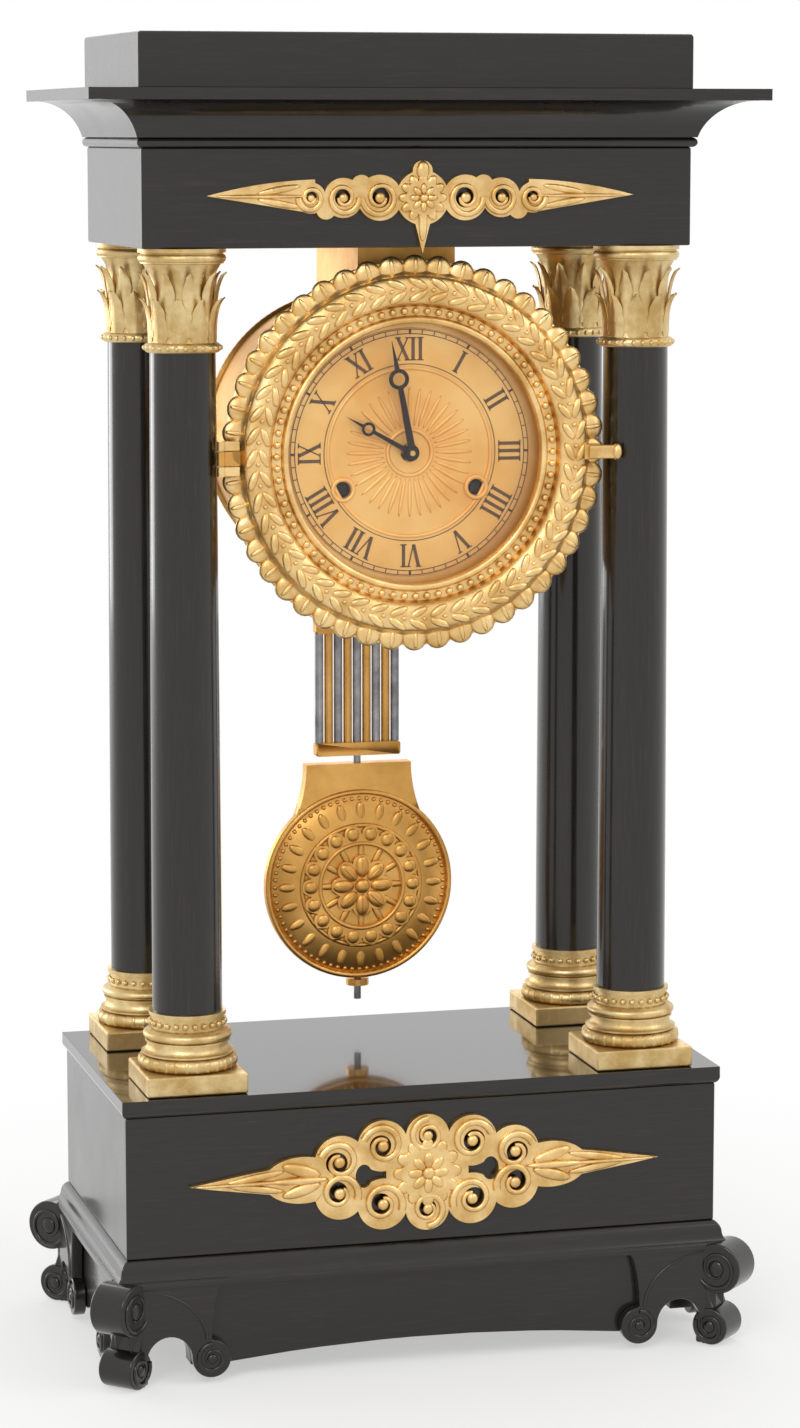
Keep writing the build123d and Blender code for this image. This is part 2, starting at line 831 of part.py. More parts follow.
def frieze_mount_plate(plane, length, height, thickness):
    """Rosette between running scrolls, a tapering leaf at each end and a drop below."""
    half, rise = length / 2, height / 2
    root_x, root_high, root_low = (half * frieze_leaf_root_shares[0],
                                   rise * frieze_leaf_root_shares[1],
                                   rise * frieze_leaf_root_shares[2])
    upper_x, upper_y = half * frieze_leaf_upper_shares[0], rise * frieze_leaf_upper_shares[1]
    lower_x, lower_y = half * frieze_leaf_lower_shares[0], rise * frieze_leaf_lower_shares[1]
    tip_y = rise * frieze_leaf_tip_share
    with BuildPart() as plate:
        with BuildSketch(plane) as casting:
            Circle(rise * frieze_heart_share)
            with Locations((0, rise * frieze_crest_place_share)):
                Circle(rise * frieze_bud_share)
            for x, size in zip(frieze_scroll_shares, frieze_scroll_size_shares):
                with Locations(*on_both_sides([(x, 0)], half, rise)):
                    Circle(rise * size)
            with Locations(*on_both_sides(frieze_bud_shares, half, rise)):
                Circle(rise * frieze_bud_share)
            for side in (-1, 1):
                with BuildLine():
                    ThreePointArc((side * root_x, root_high), (side * upper_x, upper_y),
                                  (side * half, tip_y))
                    ThreePointArc((side * half, tip_y), (side * lower_x, lower_y),
                                  (side * root_x, root_low))
                    Line((side * root_x, root_low), (side * root_x, root_high))
                make_face()
            for x, size in zip(frieze_scroll_shares, frieze_eye_size_shares):
                with Locations(*on_both_sides([(x, 0)], half, rise)):
                    Circle(rise * size, mode=Mode.SUBTRACT)
            drop_x, drop_y = rise * frieze_drop_shares[0], rise * frieze_drop_shares[1]
            drop = frieze_z - frieze_drop_reach - plane.origin.Z
            with BuildLine():
                Polyline((-drop_x, -drop_y), (0, drop), (drop_x, -drop_y), close=True)
            make_face()
        extrude(casting.sketch, amount=thickness)
        with BuildSketch(plane.offset(thickness)) as boss:
            with PolarLocations(rise * frieze_petal_circle_share, petals):
                Circle(rise * frieze_petal_share)
        extrude(boss.sketch, amount=thickness / 2)
    return plate


with BuildPart() as frieze_mount:
    add(frieze_mount_plate(front_plane(0, -frieze_depth / 2, (frieze_z + cornice_z) / 2),
                           frieze_mount_length, frieze_mount_height, mount_thickness).part)
save(frieze_mount, "frieze_mount")


# Drum: a brass tube with a flange in front, a slot below for the pendulum and two hinge lugs
screw_places = [(0, sy * screw_spacing / 2) for sy in (-1, 1)]
cover_back = drum_back + seat_gap + cover_thickness
cover_hinge_y = drum_back + seat_gap + hinge_radius

with BuildPart() as drum:
    disc(0, dial_height, drum_radius, drum_front, drum_back)
    disc(0, dial_height, flange_radius, flange_front, drum_front)
    block(-flange_radius - lug_width, -flange_radius + lug_width, bezel_hinge_y - hinge_radius / 2,
          drum_front, dial_height - lug_height / 2, dial_height + lug_height / 2)
    post(bezel_hinge_x, bezel_hinge_y, hinge_radius, dial_height - lug_height / 2,
         dial_height + lug_height / 2)
    block(bezel_hinge_x, -flange_radius, bezel_hinge_y - hinge_radius / 2,
          bezel_hinge_y + hinge_radius / 2, dial_height - lug_height / 2,
          dial_height + lug_height / 2)
    block(cover_hinge_x, -drum_radius + drum_wall, drum_back - lug_height, drum_back,
          dial_height - lug_height / 2, dial_height + lug_height / 2)
    block(cover_hinge_x, cover_hinge_x + hinge_radius, drum_back - lug_height, cover_hinge_y,
          dial_height - lug_height / 2, dial_height + lug_height / 2)
    post(cover_hinge_x, cover_hinge_y, hinge_radius, dial_height - lug_height / 2,
         dial_height + lug_height / 2)
    disc(0, dial_height, drum_radius - drum_wall, flange_front - overrun, drum_back + overrun,
         mode=Mode.SUBTRACT)
    block(-slot_half_width, slot_half_width, slot_front, slot_back,
          dial_height - drum_radius - overrun, dial_height - drum_radius / 2, mode=Mode.SUBTRACT)
    for x, y in screw_places:
        post(x, y, screw_radius + rod_clearance, dial_height, dial_height + drum_radius + overrun,
             mode=Mode.SUBTRACT)
    for x, y in ((bezel_hinge_x, bezel_hinge_y), (cover_hinge_x, cover_hinge_y)):
        post(x, y, pin_radius + running_fit, dial_height - overrun, dial_height + overrun,
             mode=Mode.SUBTRACT)
save(drum, "drum")

with BuildPart() as drum_saddle:
    block(-saddle_width / 2, saddle_width / 2, -saddle_depth / 2, saddle_depth / 2,
          dial_height + drum_radius / 2, frieze_z)
    disc(0, dial_height, drum_radius, -saddle_depth, saddle_depth, mode=Mode.SUBTRACT)
    for x, y in screw_places:
        post(x, y, screw_radius, dial_height, dial_height + drum_radius + screw_length,
             mode=Mode.SUBTRACT)
save(drum_saddle, "drum_saddle")

drum_inside_top = dial_height + drum_radius - drum_wall
with BuildPart() as saddle_screws:
    for x, y in screw_places:
        post(x, y, screw_head_radius, drum_inside_top - screw_head_height - seat_gap / 2,
             drum_inside_top - seat_gap / 2)
        post(x, y, screw_radius - running_fit, drum_inside_top - screw_head_height,
             drum_inside_top - seat_gap / 2 + screw_length)
save(saddle_screws, "saddle_screws")


# Bezel, glass and hinge pins
lobe_radius = pi * bezel_radius / bezel_lobes
lobe_circle = bezel_radius - lobe_radius
bezel_edge_front = bezel_back - bezel_edge_thickness
crest_front = bezel_back - bezel_crest
rebate_radius = glass_radius + running_fit
rebate_front = bezel_back - glass_thickness - seat_gap
knuckle_z = lug_height / 2 + seat_gap


def bezel_profile():
    """Half section: the glass rebate, an inner bead, and the swelling of the wreath."""
    bead_outer = bezel_sight + (bezel_body_radius - bezel_sight) / 5
    bead_front = rebate_front - bezel_crest / 3
    ring_outer = (bezel_body_radius * 4 + lobe_circle) / 5
    Line((rebate_radius, bezel_back), (rebate_radius, rebate_front))
    Line((rebate_radius, rebate_front), (bezel_sight, rebate_front))
    Line((bezel_sight, rebate_front), (bezel_sight, bead_front))
    RadiusArc((bezel_sight, bead_front), (bead_outer, bead_front), bead_outer - bezel_sight)
    ThreePointArc((bead_outer, bead_front), ((bead_outer + ring_outer) / 2, crest_front),
                  (ring_outer, bezel_edge_front))
    Line((ring_outer, bezel_edge_front), (ring_outer, bezel_back))
    Line((ring_outer, bezel_back), (rebate_radius, bezel_back))


with BuildPart() as front_bezel:
    with BuildSketch(dial_plane(bezel_back)) as rim:
        Circle(lobe_circle)
        with PolarLocations(lobe_circle, bezel_lobes):
            Circle(lobe_radius)
        Circle(rebate_radius, mode=Mode.SUBTRACT)
    extrude(rim.sketch, amount=bezel_edge_thickness)
    with BuildSketch(lathe_plane(0, dial_height)) as section:
        with BuildLine():
            bezel_profile()
        make_face()
    revolve(section.sketch, axis=depth_axis(0, dial_height))
    for side in (-1, 1):
        low = dial_height + (knuckle_z if side > 0 else -knuckle_z - knuckle_height)
        block(bezel_hinge_x, -bezel_body_radius + lug_width, bezel_hinge_y - hinge_radius,
              bezel_edge_front + lug_width / 2, low, low + knuckle_height)
    block(bezel_radius - lobe_radius * 2, catch_reach, crest_front - catch_thickness,
          crest_front, dial_height - catch_height / 2, dial_height + catch_height / 2)
    block(bezel_body_radius - lobe_radius, bezel_radius - lobe_radius / 2,
          crest_front, bezel_edge_front, dial_height - catch_height / 2,
          dial_height + catch_height / 2)
    block(bezel_hinge_x - overrun, -flange_radius - lug_width / 2 - lug_width,
          bezel_hinge_y + hinge_radius, bezel_back + overrun,
          dial_height - lug_height - knuckle_height, dial_height + lug_height + knuckle_height,
          mode=Mode.SUBTRACT)
    block(bezel_hinge_x - overrun, -flange_radius + lug_width + seat_gap,
          crest_front - overrun, bezel_back + overrun,
          dial_height - knuckle_z, dial_height + knuckle_z, mode=Mode.SUBTRACT)
    for side in (-1, 1):
        low = dial_height + (knuckle_z if side > 0 else -knuckle_z - knuckle_height)
        post(bezel_hinge_x, bezel_hinge_y, hinge_radius, low, low + knuckle_height)
        post(bezel_hinge_x, bezel_hinge_y, pin_radius + running_fit, low, low + knuckle_height,
             mode=Mode.SUBTRACT)
save(front_bezel, "front_bezel")


def dome_arc(radius, edge, rise):
    """Arc of a shallow dome, from its crown on the axis to its edge."""
    ball = (radius * radius + rise * rise) / (2 * rise)
    return CenterArc((0, edge - rise + ball), ball, -90, degrees(asin(radius / ball)))


with BuildPart() as glass:
    edge_back = bezel_back - seat_gap / 2
    edge_front = edge_back - glass_thickness
    dome_radius = bezel_sight - seat_gap
    inner_dome = dome_radius - glass_thickness
    with BuildSketch(lathe_plane(0, dial_height)) as section:
        with BuildLine():
            Line((0, edge_front - glass_rise), (0, edge_back - glass_rise))
            dome_arc(inner_dome, edge_back, glass_rise)
            Polyline((inner_dome, edge_back), (glass_radius, edge_back),
                     (glass_radius, edge_front), (dome_radius, edge_front))
            dome_arc(dome_radius, edge_front, glass_rise)
        make_face()
    revolve(section.sketch, axis=depth_axis(0, dial_height))
save(glass, "glass")

with BuildPart() as hinge_pins:
    half = knuckle_z + knuckle_height
    for x, y in ((bezel_hinge_x, bezel_hinge_y), (cover_hinge_x, cover_hinge_y)):
        post(x, y, pin_radius, dial_height - half, dial_height + half)
save(hinge_pins, "hinge_pins")


# Back cover
with BuildPart() as back_cover:
    cover_front = drum_back + seat_gap
    disc(0, dial_height, cover_radius, cover_front, cover_back)
    lip_radius = drum_radius - drum_wall - seat_gap
    disc(0, dial_height, lip_radius, cover_front - cover_lip_depth, cover_front)
    disc(0, dial_height, lip_radius - drum_wall, cover_front - cover_lip_depth - overrun,
         cover_front, mode=Mode.SUBTRACT)
    block(-lug_height * 2, lug_height * 2, slot_front, cover_front,
          dial_height - drum_radius, dial_height - drum_radius / 2, mode=Mode.SUBTRACT)
    block(cover_hinge_x - hinge_radius, -cover_radius + lug_height, cover_front,
          cover_back + hinge_radius, dial_height - lug_height / 2 - seat_gap,
          dial_height + lug_height / 2 + seat_gap, mode=Mode.SUBTRACT)
    for side in (-1, 1):
        low = dial_height + (knuckle_z if side > 0 else -knuckle_z - knuckle_height)
        block(cover_hinge_x, -cover_radius + lug_height, cover_front, cover_back,
              low, low + knuckle_height)
        post(cover_hinge_x, cover_hinge_y, hinge_radius, low, low + knuckle_height)
        post(cover_hinge_x, cover_hinge_y, pin_radius + running_fit, low, low + knuckle_height,
             mode=Mode.SUBTRACT)
save(back_cover, "back_cover")

with BuildPart() as cover_knob:
    knob_x = cover_radius - knob_radius * 2
    with BuildSketch(lathe_plane(knob_x, dial_height)) as section:
        with BuildLine():
            Polyline((0, cover_back), (knob_radius / 2, cover_back),
                     (knob_radius / 2, cover_back + knob_length / 2),
                     (knob_radius, cover_back + knob_length * 2 / 3),
                     (knob_radius, cover_back + knob_length * 5 / 6),
                     (knob_radius / 2, cover_back + knob_length), (0, cover_back + knob_length),
                     close=True)
        make_face()
    revolve(section.sketch, axis=depth_axis(knob_x, dial_height))
save(cover_knob, "cover_knob")


# Dial
winding_places = [(sx * winding_x, dial_height - winding_drop) for sx in (-1, 1)]
minute_x, minute_z = 0, dial_height - minute_module * (cannon_leaves + minute_teeth) / 2
dial_foot_share = 0.86
dial_foot_circle = front_plate_radius * dial_foot_share

with BuildPart() as dial:
    disc(0, dial_height, dial_radius, dial_front, dial_back)
    disc(0, dial_height, chapter_outer_radius, dial_front - chapter_rise, dial_front)
    disc(0, dial_height, chapter_inner_radius, dial_front - chapter_rise - overrun, dial_front,
         mode=Mode.SUBTRACT)
    for turn in range(3):
        angle = radians(90 + 120 * turn)
        disc(dial_foot_circle * cos(angle), dial_height + dial_foot_circle * sin(angle),
             winding_arbor_radius / 2, dial_front, front_plate_front)
    disc(0, dial_height, dial_hole_radius, dial_front - overrun, dial_back + overrun,
         mode=Mode.SUBTRACT)
    for x, z in winding_places:
        disc(x, z, winding_hole_radius, dial_front - overrun, dial_back + overrun,
             mode=Mode.SUBTRACT)
save(dial, "dial")


# Wheels and pinions with pointed teeth, each pair in mesh at rest
def centre_distance(module, wheel, pinion):
    """Distance between two arbors whose wheel and pinion mesh."""
    return module * (wheel + pinion) / 2 + tooth_backlash


def third_corner(a, b, from_a, from_b, side):
    """Place at two known distances from two arbors, on one side of the line between them."""
    span = hypot(b[0] - a[0], b[1] - a[1])
    along = (from_a ** 2 - from_b ** 2 + span ** 2) / (2 * span)
    off = side * sqrt(from_a ** 2 - along ** 2)
    ux, uz = (b[0] - a[0]) / span, (b[1] - a[1]) / span
    return (a[0] + along * ux - off * uz, a[1] + along * uz + off * ux)


def meshed(a, b, teeth_a, teeth_b, phase_a):
    """Angle of one tooth of b when b is in mesh with a, whose first tooth is at phase_a."""
    line = atan2(b[1] - a[1], b[0] - a[0])
    return line + pi - (phase_a - line) * teeth_a / teeth_b + pi / teeth_b


def toothed(place, teeth, module, phase, front, thickness, spokes=0):
    """Toothed disc in the part being built, crossed out between its spokes."""
    radius = teeth * module / 2
    points = []
    for tooth in range(teeth):
        tip = phase + 2 * pi * tooth / teeth
        root = tip + pi / teeth
        outer = radius + addendum_share * module
        inner = radius - dedendum_share * module
        points.append((outer * cos(tip), outer * sin(tip)))
        points.append((inner * cos(root), inner * sin(root)))
    plane = front_plane(place[0], front + thickness, place[1])
    polygon_plate(points, plane, thickness)
    if spokes:
        rim = (radius - dedendum_share * module) * wheel_rim_share
        hub = radius * wheel_hub_share
        for spoke in range(spokes):
            low = 2 * pi * (spoke + window_start_share) / spokes
            high = 2 * pi * (spoke + 1 - window_start_share) / spokes
            window = [(r * cos(t), r * sin(t))
                      for r, t in ((hub, low), (rim, low), (rim, (low + high) / 2),
                                   (rim, high), (hub, high))]
            polygon_plate(window, plane, thickness, mode=Mode.SUBTRACT)


centre = (0, dial_height)
going, strike = (winding_x, dial_height - winding_drop), (-winding_x, dial_height - winding_drop)
great_span = centre_distance(great_module, great_teeth, great_pinion_leaves)
second = third_corner(going, centre, great_span,
                      centre_distance(second_module, second_teeth, centre_pinion_leaves), -1)
pallets = (0, dial_height + pallet_height)
escape = (0, pallets[1] - escape_radius * sqrt(2))
third = third_corner(centre, escape,
                     centre_distance(centre_module, centre_teeth, third_pinion_leaves),
                     centre_distance(third_module, third_teeth, escape_pinion_leaves), 1)
strike_second_x_share = -0.1
strike_second = (strike[0] + great_span * strike_second_x_share,
                 strike[1] + great_span * sqrt(1 - strike_second_x_share ** 2))
pin_turn_share = 0.3
pin_span = centre_distance(strike_module, strike_teeth, pin_pinion_leaves)
pin_place = (strike_second[0] + pin_span * pin_turn_share,
             strike_second[1] + pin_span * sqrt(1 - pin_turn_share ** 2))
fly_span = centre_distance(pin_module, pin_teeth, fly_pinion_leaves)
fly_turn_share = 0.82
fly_place = (pin_place[0] + fly_span * fly_turn_share,
             pin_place[1] + fly_span * sqrt(1 - fly_turn_share ** 2))
minute_wheel_place = (minute_x, minute_z - tooth_backlash)

second_phase = meshed(going, second, great_teeth, great_pinion_leaves, 0)
centre_phase = meshed(second, centre, second_teeth, centre_pinion_leaves, 0)
third_phase = meshed(centre, third, centre_teeth, third_pinion_leaves, 0)
escape_phase = meshed(third, escape, third_teeth, escape_pinion_leaves, 0)
strike_phase = meshed(strike, strike_second, great_teeth, great_pinion_leaves, 0)
pin_phase = meshed(strike_second, pin_place, strike_teeth, pin_pinion_leaves, 0)
fly_phase = meshed(pin_place, fly_place, pin_teeth, fly_pinion_leaves, 0)
minute_phase = meshed(centre, minute_wheel_place, cannon_leaves, minute_teeth, 0)
hour_module = minute_module * (cannon_leaves + minute_teeth) / (minute_pinion_leaves + hour_teeth)
hour_phase = meshed(minute_wheel_place, centre, minute_pinion_leaves, hour_teeth, 0)

pivot_front = front_plate_front + plate_thickness / 4
pivot_back = back_plate_back - plate_thickness / 4
pivots = [second, third, escape, strike_second, pin_place, fly_place]
hammer = (hammer_x, dial_height + hammer_rise)


def arbor(place, radius, front=pivot_front, back=pivot_back):
    """Arbor from plate to plate, in the part being built."""
    disc(place[0], place[1], radius, front, back)


with BuildPart() as going_barrel:
    disc(*going, barrel_radius, barrel_front, great_front)
    toothed(going, great_teeth, great_module, 0, great_front, wheel_thickness)
    disc(*going, winding_arbor_radius + running_fit, barrel_front - overrun, back_plate_back,
         mode=Mode.SUBTRACT)
save(going_barrel, "going_barrel")

with BuildPart() as strike_barrel:
    disc(*strike, barrel_radius, barrel_front, great_front)
    toothed(strike, great_teeth, great_module, 0, great_front, wheel_thickness)
    disc(*strike, winding_arbor_radius + running_fit, barrel_front - overrun, back_plate_back,
         mode=Mode.SUBTRACT)
save(strike_barrel, "strike_barrel")


def winding_arbor(place):
    """Barrel arbor with its ratchet in front of the plate and a square for the key."""
    with BuildPart() as piece:
        disc(*place, winding_arbor_radius, front_plate_front - ratchet_thickness * 2,
             back_plate_back)
        plane = front_plane(place[0], front_plate_front - ratchet_thickness * 2, place[1])
        with BuildSketch(plane) as square:
            Rectangle(winding_square, winding_square)
        extrude(square.sketch, amount=front_plate_front - ratchet_thickness * 2 - dial_back)
        points = []
        root_radius = ratchet_radius * ratchet_root_share
        for tooth in range(ratchet_teeth):
            angle = 2 * pi * tooth / ratchet_teeth
            points.append((ratchet_radius * cos(angle), ratchet_radius * sin(angle)))
            points.append((root_radius * cos(angle), root_radius * sin(angle)))
        plate_back = front_plate_front - seat_gap
        polygon_plate(points, front_plane(place[0], plate_back, place[1]), ratchet_thickness)
    return piece


going_arbor = winding_arbor(going)
save(going_arbor, "going_arbor")
strike_arbor = winding_arbor(strike)
save(strike_arbor, "strike_arbor")

click_x = ratchet_radius * click_place_share
click_places = [(going[0] + click_x, going[1] + click_length),
                (strike[0] - click_x, strike[1] + click_length)]


def click(ratchet, side):
    """Pawl on its stud, its nose just clear of the ratchet at rest."""
    tip = ratchet_radius + seat_gap
    nose = atan2(click_length, click_x) - radians(click_lean)
    width = winding_square / 2
    corner = width * click_corner_share
    back = front_plate_front - seat_gap
    outline = [
        (click_x - corner, click_length + corner),
        (click_x + corner, click_length - corner),
        (tip * cos(nose), tip * sin(nose)),
        ((tip + width) * cos(nose), (tip + width) * sin(nose)),
        (click_x + corner, click_length + corner),
    ]
    points = [(ratchet[0] + side * x, ratchet[1] + z) for x, z in outline]
    place = (ratchet[0] + side * click_x, ratchet[1] + click_length)
    with BuildPart() as piece:
        disc(*place, width, back - ratchet_thickness, back)
        polygon_plate(points, front_plane(0, back, 0), ratchet_thickness)
        disc(*place, arbor_radius / 2 + running_fit, back - ratchet_thickness - overrun,
             back + overrun, mode=Mode.SUBTRACT)
    return piece


going_click = click(going, 1)
save(going_click, "going_click")
strike_click = click(strike, -1)
save(strike_click, "strike_click")


def train_wheel(name, place, leaves, pinion_module, pinion_phase, pinion_front, teeth, module,
                front, back=pivot_back):
    """Arbor with its pinion and its crossed-out wheel."""
    with BuildPart() as piece:
        arbor(place, arbor_radius, back=back)
        toothed(place, leaves, pinion_module, pinion_phase, pinion_front, leaf_height)
        toothed(place, teeth, module, 0, front, wheel_thickness, spokes=5)
    save(piece, name)


margin = (leaf_height - wheel_thickness) / 2
train_wheel("intermediate_wheel", second, great_pinion_leaves, great_module, second_phase,
            great_front - margin, second_teeth, second_module, second_front)
train_wheel("third_wheel", third, third_pinion_leaves, centre_module, third_phase,
            centre_front - margin, third_teeth, third_module, third_front)

with BuildPart() as centre_wheel:
    arbor(centre, arbor_radius, front=minute_hand_front)
    toothed(centre, centre_pinion_leaves, second_module, centre_phase, second_front - margin,
            leaf_height)
    toothed(centre, centre_teeth, centre_module, 0, centre_front, wheel_thickness, spokes=5)
save(centre_wheel, "centre_wheel")

with BuildPart() as escape_wheel:
    arbor(escape, arbor_radius)
    toothed(escape, escape_pinion_leaves, third_module, escape_phase, third_front - margin,
            leaf_height)
    points = []
    root_radius = escape_radius * escape_root_share
    for tooth in range(escape_teeth):
        tip = 2 * pi * tooth / escape_teeth + pi / 2
        root = tip + pi / escape_teeth * escape_root_turn_share
        points.append((escape_radius * cos(tip), escape_radius * sin(tip)))
        points.append((root_radius * cos(root), root_radius * sin(root)))
    plane = front_plane(escape[0], escape_front + wheel_thickness, escape[1])
    polygon_plate(points, plane, wheel_thickness)
save(escape_wheel, "escape_wheel")

train_wheel("strike_second_wheel", strike_second, great_pinion_leaves, great_module,
            strike_phase, great_front - margin, strike_teeth, strike_module, strike_front,
            back=back_plate_back + wheel_thickness * 2 + seat_gap)

with BuildPart() as count_wheel:
    count_radius = barrel_radius * count_circle_share
    count_front = back_plate_back + seat_gap
    disc(*strike_second, count_radius, count_front, count_front + wheel_thickness)
    for blow in range(1, 13):
        angle = 2 * pi * (blow * (blow + 1) / 2 + blow) / 90
        disc(strike_second[0] + count_radius * cos(angle),
             strike_second[1] + count_radius * sin(angle), count_radius * count_notch_share,
             count_front - overrun, count_front + wheel_thickness + overrun, mode=Mode.SUBTRACT)
    disc(*strike_second, arbor_radius, count_front - overrun, count_front + overrun,
         mode=Mode.SUBTRACT)
save(count_wheel, "count_wheel")

with BuildPart() as pin_wheel:
    arbor(pin_place, arbor_radius)
    toothed(pin_place, pin_pinion_leaves, strike_module, pin_phase, strike_front - margin,
            leaf_height)
    toothed(pin_place, pin_teeth, pin_module, 0, pin_front, wheel_thickness, spokes=4)
    pin_circle = pin_teeth * pin_module / 2 * pin_circle_share
    for pin in range(pin_count):
        angle = 2 * pi * pin / pin_count
        disc(pin_place[0] + pin_circle * cos(angle), pin_place[1] + pin_circle * sin(angle),
             arbor_radius / 2, pin_front - pin_length, pin_front)
save(pin_wheel, "pin_wheel")

with BuildPart() as fly:
    arbor(fly_place, arbor_radius)
    toothed(fly_place, fly_pinion_leaves, pin_module, fly_phase, pin_front - margin, leaf_height)
    block(fly_place[0] - fly_half_width, fly_place[0] + fly_half_width, fly_front,
          fly_front + fly_height, fly_place[1] - arbor_radius / 2,
          fly_place[1] + arbor_radius / 2)
save(fly, "fly")


# Motion work behind the dial, and the hands
cannon_front = front_plate_front - seat_gap - leaf_height - wheel_thickness
with BuildPart() as cannon_pinion:
    disc(*centre, arbor_radius + hand_thickness, minute_hand_front + hand_thickness,
         front_plate_front - seat_gap)
    toothed(centre, cannon_leaves, minute_module, 0, cannon_front, leaf_height)
    disc(*centre, arbor_radius, minute_hand_front - overrun, front_plate_front + overrun,
         mode=Mode.SUBTRACT)
save(cannon_pinion, "cannon_pinion")

hour_wheel_front = dial_back + seat_gap * 2
stud_radius = arbor_radius
with BuildPart() as minute_wheel:
    disc(*minute_wheel_place, stud_radius * 2, hour_wheel_front, front_plate_front - seat_gap)
    toothed(minute_wheel_place, minute_teeth, minute_module, minute_phase,
            cannon_front + margin, wheel_thickness, spokes=4)
    toothed(minute_wheel_place, minute_pinion_leaves, hour_module, 0, hour_wheel_front,
            leaf_height)
    disc(*minute_wheel_place, stud_radius + running_fit, hour_wheel_front - overrun,
         front_plate_front + overrun, mode=Mode.SUBTRACT)
save(minute_wheel, "minute_wheel")

pipe_inner = arbor_radius + hand_thickness + running_fit
pipe_outer = pipe_inner + hand_thickness
with BuildPart() as hour_wheel:
    toothed(centre, hour_teeth, hour_module, hour_phase, hour_wheel_front + margin,
            wheel_thickness, spokes=4)
    disc(*centre, pipe_outer, hour_hand_front + hand_thickness,
         hour_wheel_front + margin + wheel_thickness)
    disc(*centre, pipe_inner, hour_hand_front - overrun, front_plate_front, mode=Mode.SUBTRACT)
save(hour_wheel, "hour_wheel")


def hand(length, angle, front, bore, boss):
    """Blued hand with a pierced round before its pointed tip, turned clockwise from twelve."""
    ring = length * hand_ring_share
    ring_at = length * hand_ring_place_share
    stem = length * hand_stem_share
    foot = stem * hand_foot_share
    point = stem * hand_point_share
    with BuildPart() as piece:
        with BuildSketch(dial_plane(front + hand_thickness)) as shape:
            Circle(boss)
            with BuildLine():
                Polyline((-foot, 0), (foot, 0), (stem, ring_at), (-stem, ring_at), close=True)
            make_face()
            with Locations((0, ring_at)):
                Circle(ring)
            with BuildLine():
                Polyline((-point, ring_at), (0, length), (point, ring_at), close=True)
            make_face()
            with Locations((0, ring_at)):
                Circle(ring * hand_eye_share, mode=Mode.SUBTRACT)
            Circle(bore, mode=Mode.SUBTRACT)
        extrude(shape.sketch.rotate(depth_axis(*centre), angle), amount=hand_thickness)
    return piece


shown_minutes = (shown_hour % 1) * 60
hour_hand = hand(hour_hand_length, shown_hour * 30, hour_hand_front, pipe_inner,
                 pipe_outer * hour_boss_share)
save(hour_hand, "hour_hand")
minute_hand = hand(minute_hand_length, shown_minutes * 6, minute_hand_front, arbor_radius,
                   pipe_outer)
save(minute_hand, "minute_hand")


# Movement frame
front_bores = [(place, arbor_radius + pivot_bore_gap) for place in pivots + [pallets, hammer]]
front_bores += [(place, winding_arbor_radius + pivot_bore_gap) for place in (going, strike)]
front_bores += [(centre, arbor_radius + pivot_bore_gap)]
pillar_angles = (55, 115, 250, 290)
pillar_places = [(pillar_ring_radius * cos(radians(a)),
                  dial_height + pillar_ring_radius * sin(radians(a))) for a in pillar_angles]

with BuildPart() as front_plate:
    disc(0, dial_height, front_plate_radius, front_plate_front, front_plate_back)
    disc(*minute_wheel_place, stud_radius, hour_wheel_front, front_plate_back)
    for x, z in click_places:
        disc(x, z, arbor_radius / 2, front_plate_front - ratchet_thickness, front_plate_back)
    for place, radius in front_bores:
        disc(*place, radius, front_plate_front - overrun, front_plate_back + overrun,
             mode=Mode.SUBTRACT)
save(front_plate, "front_plate")

post_place = (bell_x, dial_height - bell_drop)
with BuildPart() as back_plate:
    disc(0, dial_height, back_plate_radius, back_plate_front, back_plate_back)
    for place, radius in front_bores:
        disc(*place, radius, back_plate_front - overrun, back_plate_back + overrun,
             mode=Mode.SUBTRACT)
save(back_plate, "back_plate")

with BuildPart() as pillars:
    for x, z in pillar_places:
        disc(x, z, pillar_radius, front_plate_back, back_plate_front)
save(pillars, "pillars")


# Escapement: the anchor, its arbor and the crutch that steers the pendulum
rod_half = rod_strip_width / 2 + seat_gap
with BuildPart() as anchor:
    arbor(pallets, arbor_radius, back=crutch_y + hand_thickness)
    reach = escape_radius + pallet_clearance
    tip = (reach * sin(pi / 4), escape[1] - pallets[1] + reach * cos(pi / 4))
    outer = (tip[0] + anchor_thickness, tip[1] + anchor_thickness)
    crown = anchor_thickness * anchor_crown_share
    arms = [(-tip[0], tip[1]), (-outer[0], outer[1]), (-crown, crown), (crown, crown),
            (outer[0], outer[1]), (tip[0], tip[1]), (crown, -crown / 3), (-crown, -crown / 3)]
    polygon_plate(arms, front_plane(pallets[0], escape_front + wheel_thickness, pallets[1]),
                  wheel_thickness)
    disc(*pallets, crown, escape_front, escape_front + wheel_thickness)
    block(-arbor_radius, arbor_radius, crutch_y - wheel_thickness, crutch_y,
          pallets[1] - crutch_drop, pallets[1])
    for side in (-1, 1):
        near, far = rod_half, rod_half + wheel_thickness
        block(min(side * near, side * far), max(side * near, side * far),
              crutch_y - wheel_thickness, pendulum_y + rod_strip_thickness / 2,
              pallets[1] - crutch_drop, pallets[1] - crutch_drop + wheel_thickness)
    block(-rod_half - wheel_thickness, rod_half + wheel_thickness, crutch_y - wheel_thickness,
          crutch_y, pallets[1] - crutch_drop, pallets[1] - crutch_drop + wheel_thickness)
save(anchor, "anchor")


